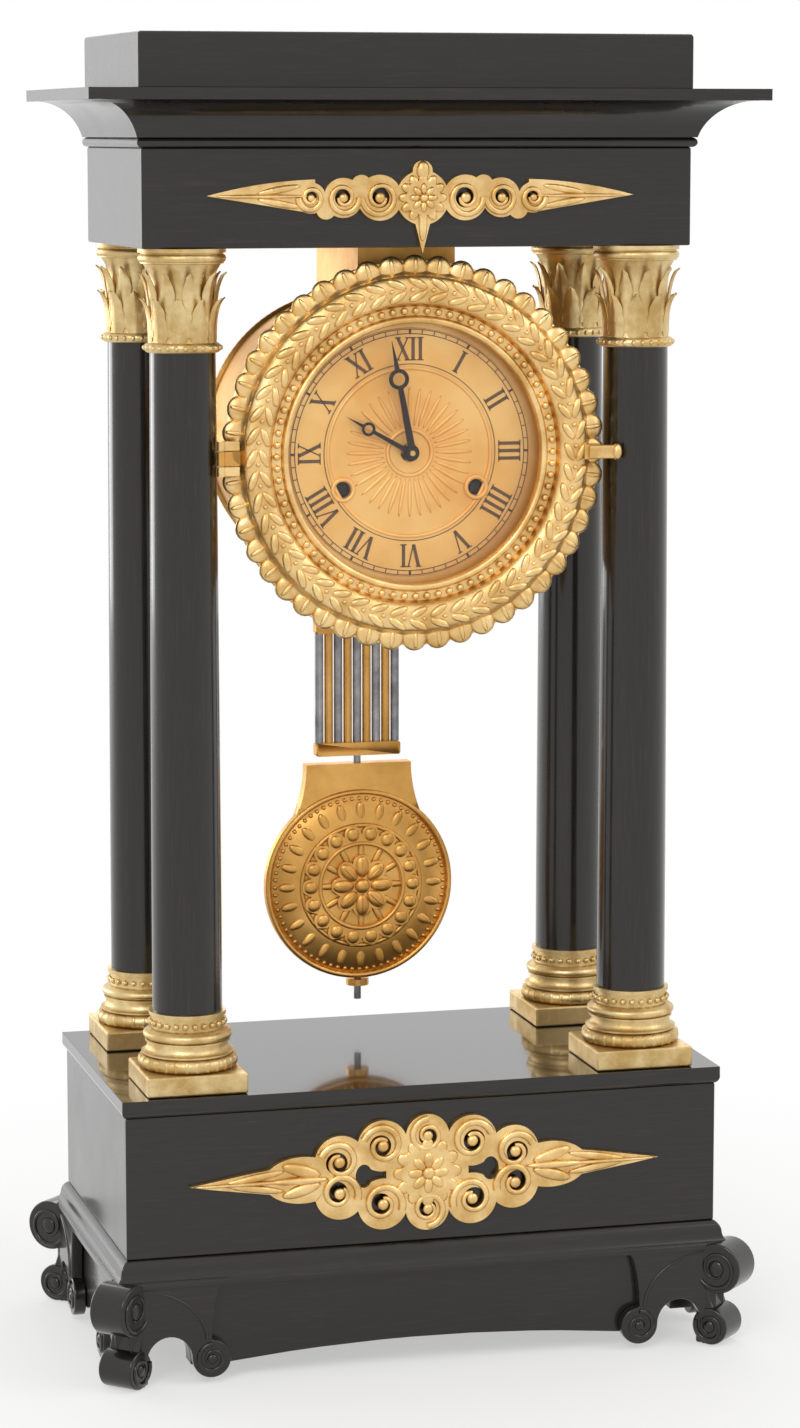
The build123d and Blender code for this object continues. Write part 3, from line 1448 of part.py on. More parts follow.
# Suspension: a cock on the back plate holds the upper chop of a short flat spring
chop_top = pallets[1] + chop_height
with BuildPart() as suspension_cock:
    block(-cock_width / 2, cock_width / 2, back_plate_back,
          pendulum_y + chop_thickness * cock_reach_share, chop_top, chop_top + cock_thickness)
    block(-cock_width / 2, cock_width / 2, back_plate_back, back_plate_back + cock_thickness,
          pallets[1] + arbor_radius * 2, chop_top)
    block(-chop_width / 2, chop_width / 2, pendulum_y - chop_thickness / 2,
          pendulum_y + chop_thickness / 2, pallets[1], chop_top)
save(suspension_cock, "suspension_cock")

spring_bottom = pallets[1] - spring_length
with BuildPart() as suspension_spring:
    block(-chop_width / 4, chop_width / 4, pendulum_y - spring_thickness / 2,
          pendulum_y + spring_thickness / 2, spring_bottom, pallets[1] - seat_gap)
    block(-chop_width / 2, chop_width / 2, pendulum_y - chop_thickness / 2,
          pendulum_y + chop_thickness / 2, spring_bottom - chop_height, spring_bottom)
save(suspension_spring, "suspension_spring")


# Pendulum: a strip rod, a gridiron of nine rods between two yokes, and the bob
strip_top = spring_bottom - chop_height
with BuildPart() as pendulum_rod:
    block(-rod_strip_width / 2, rod_strip_width / 2, pendulum_y - rod_strip_thickness / 2,
          pendulum_y + rod_strip_thickness / 2, gridiron_top, strip_top)
save(pendulum_rod, "pendulum_rod")

grid_pitch = (gridiron_width - 2 * gridiron_rod_radius) / (gridiron_rods - 1)
grid_places = [grid_pitch * i - gridiron_width / 2 + gridiron_rod_radius
               for i in range(gridiron_rods)]
with BuildPart() as gridiron_yokes:
    for low in (gridiron_top - yoke_height, gridiron_bottom):
        block(-gridiron_width / 2, gridiron_width / 2, pendulum_y - yoke_thickness / 2,
              pendulum_y + yoke_thickness / 2, low, low + yoke_height)
    fillet(gridiron_yokes.edges().filter_by(Axis.Y), radius=yoke_height / 5)
save(gridiron_yokes, "gridiron_yokes")

bob_bottom = bob_height - bob_radius
nut_top = bob_bottom - seat_gap
with BuildPart() as steel_rods:
    for x in grid_places[::2]:
        post(x, pendulum_y, gridiron_rod_radius, gridiron_bottom + yoke_height,
             gridiron_top - yoke_height)
    post(0, pendulum_y, thread_radius, nut_top - thread_length, gridiron_bottom)
save(steel_rods, "steel_rods")

with BuildPart() as brass_rods:
    for x in grid_places[1::2]:
        post(x, pendulum_y, gridiron_rod_radius, gridiron_bottom + yoke_height,
             gridiron_top - yoke_height)
save(brass_rods, "brass_rods")


def bob_profile():
    """Half section of a lens-shaped bob with a turned rim."""
    half = bob_thickness / 2
    edge = bob_radius - bob_rim
    dome = half * bob_dome_share
    side = half * bob_edge_share
    Line((0, pendulum_y - half), (bob_disc_radius, pendulum_y - half))
    ThreePointArc((bob_disc_radius, pendulum_y - half),
                  ((bob_disc_radius + edge) / 2, pendulum_y - dome),
                  (edge, pendulum_y - side))
    RadiusArc((edge, pendulum_y - side), (edge, pendulum_y + side), -bob_rim * bob_rim_bow_share)
    ThreePointArc((edge, pendulum_y + side),
                  ((bob_disc_radius + edge) / 2, pendulum_y + dome),
                  (bob_disc_radius, pendulum_y + half))
    Line((bob_disc_radius, pendulum_y + half), (0, pendulum_y + half))
    Line((0, pendulum_y + half), (0, pendulum_y - half))


with BuildPart() as bob:
    with BuildSketch(lathe_plane(0, bob_height)) as section:
        with BuildLine():
            bob_profile()
        make_face()
    revolve(section.sketch, axis=depth_axis(0, bob_height))
    low = bob_radius * shoulder_foot_share
    wide = sqrt(bob_radius ** 2 - low ** 2) - bob_rim
    narrow = shoulder_width / 2
    shoulder_foot = bob_height + low
    waist = (narrow + (wide - narrow) / 4, (shoulder_foot + shoulder_top) / 2)
    with BuildSketch(front_plane(0, pendulum_y + bob_thickness / 4, 0)) as shoulder:
        with BuildLine():
            ThreePointArc((-wide, shoulder_foot), (-waist[0], waist[1]), (-narrow, shoulder_top))
            Line((-narrow, shoulder_top), (narrow, shoulder_top))
            ThreePointArc((narrow, shoulder_top), waist, (wide, shoulder_foot))
            Line((wide, shoulder_foot), (-wide, shoulder_foot))
        make_face()
    extrude(shoulder.sketch, amount=bob_thickness / 2)
    post(0, pendulum_y, thread_radius + running_fit, bob_bottom - overrun,
         shoulder_top + overrun, mode=Mode.SUBTRACT)
save(bob, "bob")

with BuildPart() as bob_mount:
    mount_front = pendulum_y - bob_thickness / 2
    with BuildSketch(front_plane(0, mount_front, bob_height)) as ring:
        Circle(bob_disc_radius * bob_ring_share)
        with PolarLocations(bob_disc_radius * bob_ring_share, bob_ring_beads):
            Circle(bob_disc_radius * bob_ring_bead_share)
        Circle(bob_disc_radius * bob_ring_inner_share, mode=Mode.SUBTRACT)
    extrude(ring.sketch, amount=bob_rim)
    with BuildSketch(front_plane(0, mount_front, bob_height)) as rosette:
        Circle(bob_disc_radius * bob_rosette_share)
        with PolarLocations(bob_disc_radius * bob_petal_circle_share, petals):
            Circle(bob_disc_radius * bob_petal_share)
    extrude(rosette.sketch, amount=bob_rosette_rise)
save(bob_mount, "bob_mount")

with BuildPart() as rating_nut:
    with BuildSketch(Plane.XY.offset(nut_top - rating_nut_height)) as knurl:
        with Locations((0, pendulum_y)):
            RegularPolygon(rating_nut_radius, rating_nut_sides)
            Circle(thread_radius + running_fit, mode=Mode.SUBTRACT)
    extrude(knurl.sketch, amount=rating_nut_height)
save(rating_nut, "rating_nut")


# Striking: bell on its post behind the pendulum, and the hammer
with BuildPart() as bell:
    with BuildSketch(lathe_plane(bell_x, dial_height - bell_drop)) as section:
        crown = bell_mouth + bell_depth
        shoulder_y = bell_mouth + bell_depth * bell_shoulder_depth_share
        crown_radius = bell_radius * bell_crown_share
        shoulder_radius = bell_radius * bell_shoulder_share
        with BuildLine():
            Polyline((bell_post_radius + running_fit, crown), (crown_radius, crown),
                     (shoulder_radius, shoulder_y), (bell_radius, bell_mouth),
                     (bell_radius - bell_wall, bell_mouth),
                     (shoulder_radius - bell_wall, shoulder_y - bell_wall / 2),
                     (crown_radius - bell_wall / 2, crown - bell_wall),
                     (bell_post_radius + running_fit, crown - bell_wall), close=True)
        make_face()
    revolve(section.sketch, axis=depth_axis(bell_x, dial_height - bell_drop))
save(bell, "bell")

with BuildPart() as bell_post:
    disc(*post_place, bell_post_radius, back_plate_back, bell_mouth + bell_depth + bell_wall)
    disc(*post_place, bell_post_radius * post_foot_share, back_plate_back,
         bell_mouth + bell_depth - bell_wall - running_fit)
    disc(*post_place, bell_post_radius * post_head_share, bell_mouth + bell_depth + running_fit,
         bell_mouth + bell_depth + bell_wall)
save(bell_post, "bell_post")

strike_reach = bell_radius + hammer_head_radius + hammer_gap
bell_span = hypot(hammer[0] - post_place[0], hammer[1] - post_place[1])
head = third_corner(post_place, hammer, strike_reach,
                    sqrt(bell_span ** 2 - strike_reach ** 2), 1)
with BuildPart() as hammer_arm:
    arm_back = bell_mouth + hammer_head_radius
    disc(*hammer, arbor_radius, pivot_front, arm_back)
    ux, uz = head[0] - hammer[0], head[1] - hammer[1]
    length = hypot(ux, uz)
    px, pz = -uz / length * arbor_radius, ux / length * arbor_radius
    arm = [(hammer[0] + px, hammer[1] + pz), (head[0] + px, head[1] + pz),
           (head[0] - px, head[1] - pz), (hammer[0] - px, hammer[1] - pz)]
    polygon_plate(arm, front_plane(0, arm_back, 0), wheel_thickness)
    disc(*head, hammer_head_radius, bell_mouth - hammer_head_radius / 2, arm_back)
    tail = (pin_place[0] - hammer[0], pin_place[1] - hammer[1])
    tail_length = hypot(*tail)
    reach = tail_length - pin_circle - arbor_radius / 2 - seat_gap * 2
    end = (hammer[0] + tail[0] / tail_length * reach, hammer[1] + tail[1] / tail_length * reach)
    wide = (tail[1] / tail_length * arbor_radius, tail[0] / tail_length * arbor_radius)
    lift = [(hammer[0] - wide[0], hammer[1] + wide[1]), (end[0] - wide[0], end[1] + wide[1]),
            (end[0] + wide[0], end[1] - wide[1]), (hammer[0] + wide[0], hammer[1] - wide[1])]
    polygon_plate(lift, front_plane(0, pin_front - seat_gap, 0), wheel_thickness)
save(hammer_arm, "hammer")
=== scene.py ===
"""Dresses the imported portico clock: finishes, turned and stamped pieces, stage and camera."""

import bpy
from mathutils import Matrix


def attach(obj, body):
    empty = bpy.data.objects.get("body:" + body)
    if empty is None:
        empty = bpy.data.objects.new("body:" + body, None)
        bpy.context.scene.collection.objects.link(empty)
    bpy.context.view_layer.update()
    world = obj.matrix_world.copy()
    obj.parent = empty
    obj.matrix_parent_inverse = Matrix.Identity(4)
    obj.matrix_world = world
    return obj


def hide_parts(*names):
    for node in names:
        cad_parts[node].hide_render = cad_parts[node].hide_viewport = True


bl_info = {
    "name": "Portico Clock",
    "version": (1, 0, 0),
    "blender": (4, 5, 0),
    "location": "View3D > Sidebar > Clock",
    "description": "Builds the visible pieces and finishes of a portico mantel clock",
    "category": "Add Mesh",
}

from math import cos, pi, radians, sin

import bpy
from bpy.props import FloatProperty, FloatVectorProperty, PointerProperty
from mathutils import Matrix, Vector

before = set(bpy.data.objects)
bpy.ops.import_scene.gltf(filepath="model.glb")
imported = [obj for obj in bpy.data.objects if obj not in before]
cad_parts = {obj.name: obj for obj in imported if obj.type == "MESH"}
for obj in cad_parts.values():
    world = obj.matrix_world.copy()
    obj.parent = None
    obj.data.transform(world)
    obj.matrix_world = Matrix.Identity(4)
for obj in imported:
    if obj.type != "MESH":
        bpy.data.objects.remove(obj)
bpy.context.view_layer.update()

MM = 0.001
# Points closer than this, in metres, are merged
MERGE = 0.000005
# Colour sockets of a mixing node, whose names aren't unique
MIX_LOW, MIX_HIGH, MIX_RESULT = 6, 7, 2

# Places and levels of the case, in millimetres, from its middle and from the ground
HALF_WIDTH = 110.6
HALF_DEPTH = 58.6
FOOT_HEIGHT = 38.8
COLUMN_X = 83.8
COLUMN_Y = 39.1
BASE_TOP = 104.3
SHAFT_FOOT = 132.5
CAPITAL_FOOT = 368.4
FRIEZE = 404.9
DIAL_LEVEL = 331.2
WINDING_X = 24.8
WINDING_Y = -13.0
# Lobes round the bezel, with as many leaves in each row of its wreath
LOBES = 48

# Grounds on which pieces drawn flat are laid, in metres
DIAL = Vector((0.0, -35.5, DIAL_LEVEL)) * MM
BEZEL_BACK = Vector((0.0, -40.0, DIAL_LEVEL)) * MM
BASE_MOUNT = Vector((0.0, -61.0, 72.0)) * MM
FRIEZE_MOUNT = Vector((0.0, -53.4, 422.4)) * MM
BOB = Vector((0.0, 42.0, 160.4)) * MM

# Floor, camera and lights
FLOOR_RADIUS = 6.0
FLOOR_LEVEL = -0.0002
SENSOR_WIDTH = 36.0
CAMERA_PLACE = Vector((-380.7, -1455.9, 444.7)) * MM
CAMERA_AIM = Vector((5.85, 0.0, 231.14)) * MM
LIGHT_AIM = Vector((0.0, 0.0, 0.25))
# Name, place in metres, size in metres and power in watts
LIGHTS = (("key", (-0.9, -1.6, 1.5), 0.9, 14.0),
          ("fill", (1.3, -0.9, 1.4), 1.1, 7.0),
          ("back", (0.3, 1.5, 1.3), 1.0, 6.0),
          ("side", (-1.5, 1.9, 0.5), 1.2, 18.0))


# Colours and nodes

def linear(code):
    """Linear colour, with alpha, of an sRGB hex value."""
    parts = [int(code[i:i + 2], 16) / 255 for i in (0, 2, 4)]
    return (*(c / 12.92 if c <= 0.04045 else ((c + 0.055) / 1.055) ** 2.4 for c in parts), 1.0)


def colour_setting(name, description, code):
    """Colour property whose default is an sRGB hex value."""
    return FloatVectorProperty(name=name, description=description, subtype="COLOR", size=4,
                               min=0.0, max=1.0, default=linear(code))


def length_setting(name, description, millimetres):
    """Length property whose default is given in millimetres."""
    return FloatProperty(name=name, description=description, subtype="DISTANCE", unit="LENGTH",
                         min=0.0, default=millimetres * MM)


def add_node(tree, kind, links=None, **settings):
    """Adds one node, with its settings and with links or values for its sockets."""
    made = tree.nodes.new(kind)
    for name, value in settings.items():
        setattr(made, name, value)
    for socket, source in (links or {}).items():
        if isinstance(source, bpy.types.NodeSocket):
            tree.links.new(source, made.inputs[socket])
        else:
            made.inputs[socket].default_value = source
    return made


def new_material(name):
    """Empty node material with its output, ready for a shader."""
    material = bpy.data.materials.new(name)
    material.use_nodes = True
    material.node_tree.nodes.clear()
    output = material.node_tree.nodes.new("ShaderNodeOutputMaterial")
    return material, material.node_tree, output


def object_place(tree):
    """Place of a shaded point in its object."""
    return add_node(tree, "ShaderNodeTexCoord").outputs["Object"]


def noise(tree, place, scale, detail=2.0, roughness=0.5):
    """Cloudy pattern between 0 and 1."""
    return add_node(tree, "ShaderNodeTexNoise", {"Vector": place, "Scale": scale, "Detail": detail,
                                                 "Roughness": roughness}).outputs["Fac"]


def ranged(tree, value, span=(0.0, 1.0), onto=(0.0, 1.0)):
    """Value that is drawn out from one span onto another."""
    return add_node(tree, "ShaderNodeMapRange",
                    {"Value": value, "From Min": span[0], "From Max": span[1],
                     "To Min": onto[0], "To Max": onto[1]}).outputs["Result"]


def two_tone(tree, factor, low, high):
    """Colour between two others."""
    tint = add_node(tree, "ShaderNodeMix", {"Factor": factor}, data_type="RGBA")
    tint.inputs[MIX_LOW].default_value = low
    tint.inputs[MIX_HIGH].default_value = high
    return tint.outputs[MIX_RESULT]


def bumped(tree, height, strength, distance):
    """Shading normal of a slightly uneven surface."""
    return add_node(tree, "ShaderNodeBump", {"Height": height, "Strength": strength,
                                             "Distance": distance}).outputs["Normal"]


def seen_by(tree, *rays):
    """1 for a ray of any of these kinds, else 0."""
    path = add_node(tree, "ShaderNodeLightPath")
    seen = path.outputs[rays[0]]
    for ray in rays[1:]:
        seen = add_node(tree, "ShaderNodeMath", {0: seen, 1: path.outputs[ray]},
                        operation="MAXIMUM").outputs["Value"]
    return seen


def principled(tree, output, sockets):
    """Principled shader on the material's surface."""
    shader = add_node(tree, "ShaderNodeBsdfPrincipled", sockets)
    tree.links.new(shader.outputs["BSDF"], output.inputs["Surface"])


class ClockColours(bpy.types.PropertyGroup):
    """Colours of the clock's finishes."""
    wood: colour_setting("Ebonised wood", "Black stained veneer under polish", "16130F")
    wood_grain: colour_setting("Wood grain", "Lighter lines of the veneer", "2A221B")
    pine: colour_setting("Pine", "Bare pine below the base", "A98456")
    pine_grain: colour_setting("Pine grain", "Darker lines of the pine", "6E5436")
    gilt: colour_setting("Gilding", "Bright parts of the gilt mounts", "F5D498")
    gilt_shade: colour_setting("Gilding shade", "Worn and dull parts of the gilt mounts", "CFA766")
    # Capitals and bases: a paler gilding, darkened as painted shade of their leaves and hollows
    pale_gilt_painted_shade: colour_setting("Aged gilding", "Capitals and bases, paler with age", "E2CB98")
    pale_gilt_painted_shade_rubbed: colour_setting("Aged gilding shade", "Rubbed parts of the capitals", "BC9C62")
    dial: colour_setting("Dial gilding", "Matt gilding of the dial", "FFCB80")
    dial_shade: colour_setting("Dial shade", "Duller clouds on the dial", "F0B565")
    chapter: colour_setting("Chapters", "Brown wax in the dial's chapters", "65401F")
    bronze: colour_setting("Bob brass", "Aged brass of the pendulum", "E2AE62")
    bronze_shade: colour_setting("Bob brass shade", "Darkened brass of the pendulum", "C08E48")
    brass: colour_setting("Brass", "Polished brass of the movement", "DDBB70")
    steel: colour_setting("Steel", "Brushed steel", "A9A9AA")
    steel_shade: colour_setting("Steel shade", "Dull patches of the steel", "7C7C80")
    browned: colour_setting("Tempered steel", "Heat-browned steel of the hands", "3A2B24")
    browned_shade: colour_setting("Tempered steel shade", "Darkest parts of the hands", "221A18")
    floor: colour_setting("Floor", "Pale floor under the clock", "F4F4F2")


class ClockSizes(bpy.types.PropertyGroup):
    """Sizes of edges, grain and tooling, and the camera's lens."""
    eased: length_setting("Eased edge", "Width of the rounded edge on the wooden boards", 0.7)
    grain: length_setting("Grain spacing", "Distance between the veneer's grain lines", 0.9)
    tooling: length_setting("Tooling", "Size of the punch marks on the gilt pieces", 0.8)
    lens: FloatProperty(name="Lens", description="Focal length of the camera in millimetres",
                        default=103.2, min=1.0)


# Finishes

def metal_finish(name, bright, shade, rough, patch, tooling, depth):
    """Metal with dull clouds of wear and a fine worked surface."""
    material, tree, output = new_material(name)
    place = object_place(tree)
    wear = noise(tree, place, 1 / patch, 5.0, 0.62)
    fine = noise(tree, place, 1 / tooling, 3.0, 0.55)
    principled(tree, output, {
        "Base Color": two_tone(tree, ranged(tree, wear, (0.35, 0.65)), shade, bright),
        "Metallic": 1.0,
        "Roughness": ranged(tree, wear, (0.3, 0.7), (rough + 0.12, rough - 0.05)),
        "Normal": bumped(tree, fine, 0.35, depth)})
    return material


def ebonised_wood(colours, sizes, name="ebonised_veneer", run=(0.05, 1.0, 1.0), dullness=1.0):
    """Veneer stained black under shellac: dark, with a clear coat that mirrors softly."""
    material, tree, output = new_material(name)
    place = object_place(tree)
    along = add_node(tree, "ShaderNodeMapping", {"Vector": place, "Scale": run})
    grain = noise(tree, along.outputs["Vector"], 1 / sizes.grain, 4.0, 0.7)
    polish = noise(tree, place, 45.0, 4.0)
    principled(tree, output, {
        "Base Color": two_tone(tree, ranged(tree, grain, (0.5, 0.75)), colours.wood,
                               colours.wood_grain),
        "Roughness": ranged(tree, polish, onto=(0.22 * dullness, 0.36 * dullness)),
        "Normal": bumped(tree, grain, 0.12, 0.0001),
        "Specular IOR Level": 0.25, "Coat Weight": 0.6, "Coat Roughness": 0.1 * dullness})
    return material


def softwood(colours, sizes):
    """Plain unpolished pine below: pale brown, dry, with long grain."""
    material, tree, output = new_material("bare_pine")
    along = add_node(tree, "ShaderNodeMapping", {"Vector": object_place(tree),
                                                 "Scale": (0.04, 1.0, 1.0)})
    grain = noise(tree, along.outputs["Vector"], 0.25 / sizes.grain, 6.0)
    principled(tree, output, {"Base Color": two_tone(tree, grain, colours.pine_grain,
                                                     colours.pine),
                              "Roughness": 0.8})
    return material


def clear_glass():
    """Thin blown glass: nearly invisible, with a sharp highlight."""
    material, tree, output = new_material("domed_glass")
    sheer = add_node(tree, "ShaderNodeBsdfTransparent", {"Color": (0.97, 0.98, 0.97, 1.0)})
    gloss = add_node(tree, "ShaderNodeBsdfGlossy", {"Roughness": 0.03})
    view = add_node(tree, "ShaderNodeLayerWeight", {"Blend": 0.5})
    rim = add_node(tree, "ShaderNodeMath", {0: view.outputs["Facing"], 1: 4.0}, operation="POWER")
    both = add_node(tree, "ShaderNodeMixShader",
                    {0: ranged(tree, rim.outputs["Value"], onto=(0.03, 0.7)),
                     1: sheer.outputs["BSDF"], 2: gloss.outputs["BSDF"]})
    tree.links.new(both.outputs["Shader"], output.inputs["Surface"])
    return material


def wax(colours):
    """Brown wax pressed into the dial's chapters: matt, a little uneven."""
    material, tree, output = new_material("chapter_wax")
    clouds = noise(tree, object_place(tree), 700.0)
    principled(tree, output, {"Base Color": colours.chapter,
                              "Roughness": ranged(tree, clouds, onto=(0.4, 0.6))})
    return material


FINISHES = {}


def make_finishes(colours, sizes):
    """All finishes of the clock, by name."""
    FINISHES["wood"] = ebonised_wood(colours, sizes)
    FINISHES["wood_upright"] = ebonised_wood(colours, sizes, "ebonised_turning", (1.0, 1.0, 0.05))
    # The base's top board, polished highest of all
    FINISHES["wood_polished"] = ebonised_wood(colours, sizes, "ebonised_polish", dullness=0.4)
    FINISHES["pine"] = softwood(colours, sizes)
    # Each metal: two colours, roughness, size of its worn patches, size and depth of its tooling.
    # Stamped brass, gilt and then tooled: warm, half matt, duller where it is rubbed
    FINISHES["gilt"] = metal_finish("gilt_stamped_brass", colours.gilt, colours.gilt_shade,
                                    0.34, 0.012, sizes.tooling, 0.0003)
    # The same work on the capitals and bases, paler, and darker as painted shade of their leaves
    # and hollows
    FINISHES["pale_gilt_painted_shade"] = metal_finish("pale_gilt_painted_shade_brass", colours.pale_gilt_painted_shade,
                                         colours.pale_gilt_painted_shade_rubbed, 0.38, 0.012, sizes.tooling,
                                         0.0003)
    # Matt gilding over a grained plate: bright and even
    FINISHES["dial"] = metal_finish("matt_gilt_plate", colours.dial, colours.dial_shade,
                                    0.5, 0.03, sizes.tooling / 2, 0.0001)
    # Cast brass that has browned with age
    FINISHES["bronze"] = metal_finish("aged_cast_brass", colours.bronze, colours.bronze_shade,
                                      0.38, 0.035, sizes.tooling, 0.0001)
    # Turned and lacquered brass of the movement
    FINISHES["brass"] = metal_finish("polished_brass", colours.brass, colours.bronze,
                                     0.24, 0.02, sizes.tooling, 0.00003)
    # Steel, brushed along and left bare
    FINISHES["steel"] = metal_finish("brushed_steel", colours.steel, colours.steel_shade,
                                     0.34, 0.01, sizes.tooling / 2, 0.00003)
    # Steel, tempered until it is brown, on the hands; on the winding arbors its darkness is
    # painted shade in the winding holes
    FINISHES["browned"] = metal_finish("browned_steel", colours.browned, colours.browned_shade,
                                     0.3, 0.01, sizes.tooling / 2, 0.00002)
    FINISHES["glass"] = clear_glass()
    FINISHES["wax"] = wax(colours)


NODE_FINISH = {
    "wood": ("base_plinth", "base_box", "scroll_feet", "column_shafts", "frieze_box",
             "frieze_floor", "cornice", "top_block"),
    "wood_polished": ("base_top",),
    "pine": ("base_bottom",),
    "pale_gilt_painted_shade": ("column_bases", "capitals"),
    "gilt": ("base_mount", "frieze_mount", "front_bezel"),
    "dial": ("dial",),
    "bronze": ("drum", "drum_saddle", "back_cover", "gridiron_yokes", "brass_rods", "bob",
               "bob_mount", "rating_nut", "bell"),
    "brass": ("cover_knob", "front_plate", "back_plate", "pillars", "going_barrel",
              "strike_barrel", "intermediate_wheel", "third_wheel", "centre_wheel",
              "escape_wheel", "strike_second_wheel", "count_wheel", "pin_wheel", "fly",
              "cannon_pinion", "minute_wheel", "hour_wheel", "suspension_cock", "bell_post"),
    "steel": ("tie_rods", "tie_nuts", "saddle_screws", "hinge_pins", "going_arbor",
              "strike_arbor", "going_click", "strike_click", "anchor", "suspension_spring",
              "pendulum_rod", "steel_rods", "hammer"),
    "browned": ("hour_hand", "minute_hand"),
    "glass": ("glass",),
}


# Modelling helpers

def deselect():
    """Nothing selected, in object mode."""
    if bpy.context.object and bpy.context.object.mode != "OBJECT":
        bpy.ops.object.mode_set(mode="OBJECT")
    bpy.ops.object.select_all(action="DESELECT")


def pick(piece):
    """Only this piece selected and active."""
    deselect()
    piece.select_set(True)
    bpy.context.view_layer.objects.active = piece


def settle(piece):
    """Applies the piece's place, so that its object sits at the origin."""
    pick(piece)
    bpy.ops.object.transform_apply(location=True, rotation=True, scale=True)


def outward(piece):
    """Merges doubled points and turns all faces outwards."""
    pick(piece)
    bpy.ops.object.mode_set(mode="EDIT")
    bpy.ops.mesh.select_all(action="SELECT")
    bpy.ops.mesh.remove_doubles(threshold=MERGE)
    bpy.ops.mesh.normals_make_consistent(inside=False)
    bpy.ops.object.mode_set(mode="OBJECT")


def apply_modifier(piece, kind, **settings):
    """Adds one modifier with its settings and applies it."""
    pick(piece)
    made = piece.modifiers.new(kind.lower(), kind)
    for name, value in settings.items():
        setattr(made, name, value)
    bpy.ops.object.modifier_apply(modifier=made.name)


def joined(pieces, name):
    """One object made of several."""
    deselect()
    for piece in pieces:
        piece.select_set(True)
    bpy.context.view_layer.objects.active = pieces[0]
    if len(pieces) > 1:
        bpy.ops.object.join()
    piece = bpy.context.object
    piece.name = name
    piece.data.name = name
    return piece


def copied(piece, matrix):
    """Copy of a piece with its own mesh, moved in its mesh by a matrix."""
    twin = piece.copy()
    twin.data = piece.data.copy()
    twin.data.transform(matrix)
    bpy.context.collection.objects.link(twin)
    return twin


def dressed(piece, finish, body, *nodes):
    """Gives a piece its finish and its body, and hides the nodes that it stands for."""
    settle(piece)
    piece.data.materials.clear()
    piece.data.materials.append(FINISHES[finish])
    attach(piece, body)
    if nodes:
        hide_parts(*nodes)
    return piece


def smoothed(piece, angle=35):
    """Smooth shading up to an angle between faces, in degrees."""
    pick(piece)
    bpy.ops.object.shade_smooth_by_angle(angle=radians(angle))


def flattened(piece):
    """Keeps the flat faces of a smooth piece flat, so that they mirror evenly."""
    apply_modifier(piece, "WEIGHTED_NORMAL", keep_sharp=True, weight=100)


def facing(piece, centre):
    """Turns a piece made about Z so that its top faces the viewer, and puts it in place."""
    piece.data.transform(Matrix.Translation(centre) @ Matrix.Rotation(radians(90), 4, "X"))
    return piece


def rounded(piece, width, angle):
    """Rounds the edges that turn by more than an angle, in degrees, by a width in metres."""
    apply_modifier(piece, "BEVEL", width=width, segments=3, limit_method="ANGLE",
                   angle_limit=radians(angle), use_clamp_overlap=True)


def smooth_copy(node, finish, body="case", eased=0.0, angle=35, ending="_finished"):
    """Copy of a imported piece, merged, rounded along its edges and shaded smooth."""
    piece = copied(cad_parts[node], Matrix.Identity(4))
    for key in list(piece.keys()):
        if key.startswith("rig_"):
            del piece[key]
    piece.parent = None
    piece.name = node + ending
    pick(piece)
    bpy.ops.object.mode_set(mode="EDIT")
    bpy.ops.mesh.select_all(action="SELECT")
    bpy.ops.mesh.remove_doubles(threshold=MERGE)
    if eased:
        bpy.ops.mesh.dissolve_limited(angle_limit=radians(1))
    bpy.ops.object.mode_set(mode="OBJECT")
    if eased:
        rounded(piece, eased, 32)
    smoothed(piece, angle)
    flattened(piece)
    return dressed(piece, finish, body, node)


# Modelling of turned, strewn and drawn pieces, with sizes in millimetres

def arc(centre, reach, start, end, steps):
    """Points of an elliptical arc in a profile, between two angles in degrees."""
    angles = [radians(start + (end - start) * i / steps) for i in range(steps + 1)]
    return [(centre[0] + reach[0] * cos(a), centre[1] + reach[1] * sin(a)) for a in angles]


def turned(name, profile, segments=64, closed=False):
    """Piece turned about the Z axis: a disc drawn out ring by ring through (radius, height).

    With a closed profile it is a ring: a circle drawn out and back to where it began.
    """
    deselect()
    path = profile + profile[:1] if closed else profile
    radius, height = path[0]
    bpy.ops.mesh.primitive_circle_add(vertices=segments, radius=radius * MM,
                                      fill_type="NOTHING" if closed else "NGON",
                                      location=(0, 0, height * MM))
    piece = bpy.context.object
    piece.name = name
    bpy.ops.object.mode_set(mode="EDIT")
    bpy.ops.mesh.select_all(action="SELECT")
    for next_radius, next_height in path[1:]:
        bpy.ops.mesh.extrude_region_move(
            TRANSFORM_OT_translate={"value": (0, 0, (next_height - height) * MM)})
        share = next_radius / radius
        bpy.ops.transform.resize(value=(share, share, 1),
                                 center_override=(0, 0, next_height * MM))
        radius, height = next_radius, next_height
    bpy.ops.object.mode_set(mode="OBJECT")
    settle(piece)
    outward(piece)
    smoothed(piece)
    return piece


def half_round(name, middle, level, reach, foot, segments=128):
    """Ring with a rounded back, from a foot level up over a radius and a level."""
    return turned(name, [(middle - reach[0], foot)] + arc((middle, level), reach, 180, 0, 8)
                  + [(middle + reach[0], foot)], segments, closed=True)


def bead(name, half_sizes, at, turn=0.0, segments=16):
    """Round or drawn-out bead with three half sizes, turned in degrees about Z."""
    deselect()
    bpy.ops.mesh.primitive_uv_sphere_add(segments=segments, ring_count=segments // 2,
                                         radius=MM, location=(0, 0, 0))
    piece = bpy.context.object
    piece.name = name
    piece.data.transform(Matrix.Translation(Vector(at) * MM)
                         @ Matrix.Rotation(radians(turn), 4, "Z")
                         @ Matrix.Diagonal((*half_sizes, 1.0)))
    bpy.ops.object.shade_smooth()
    return piece


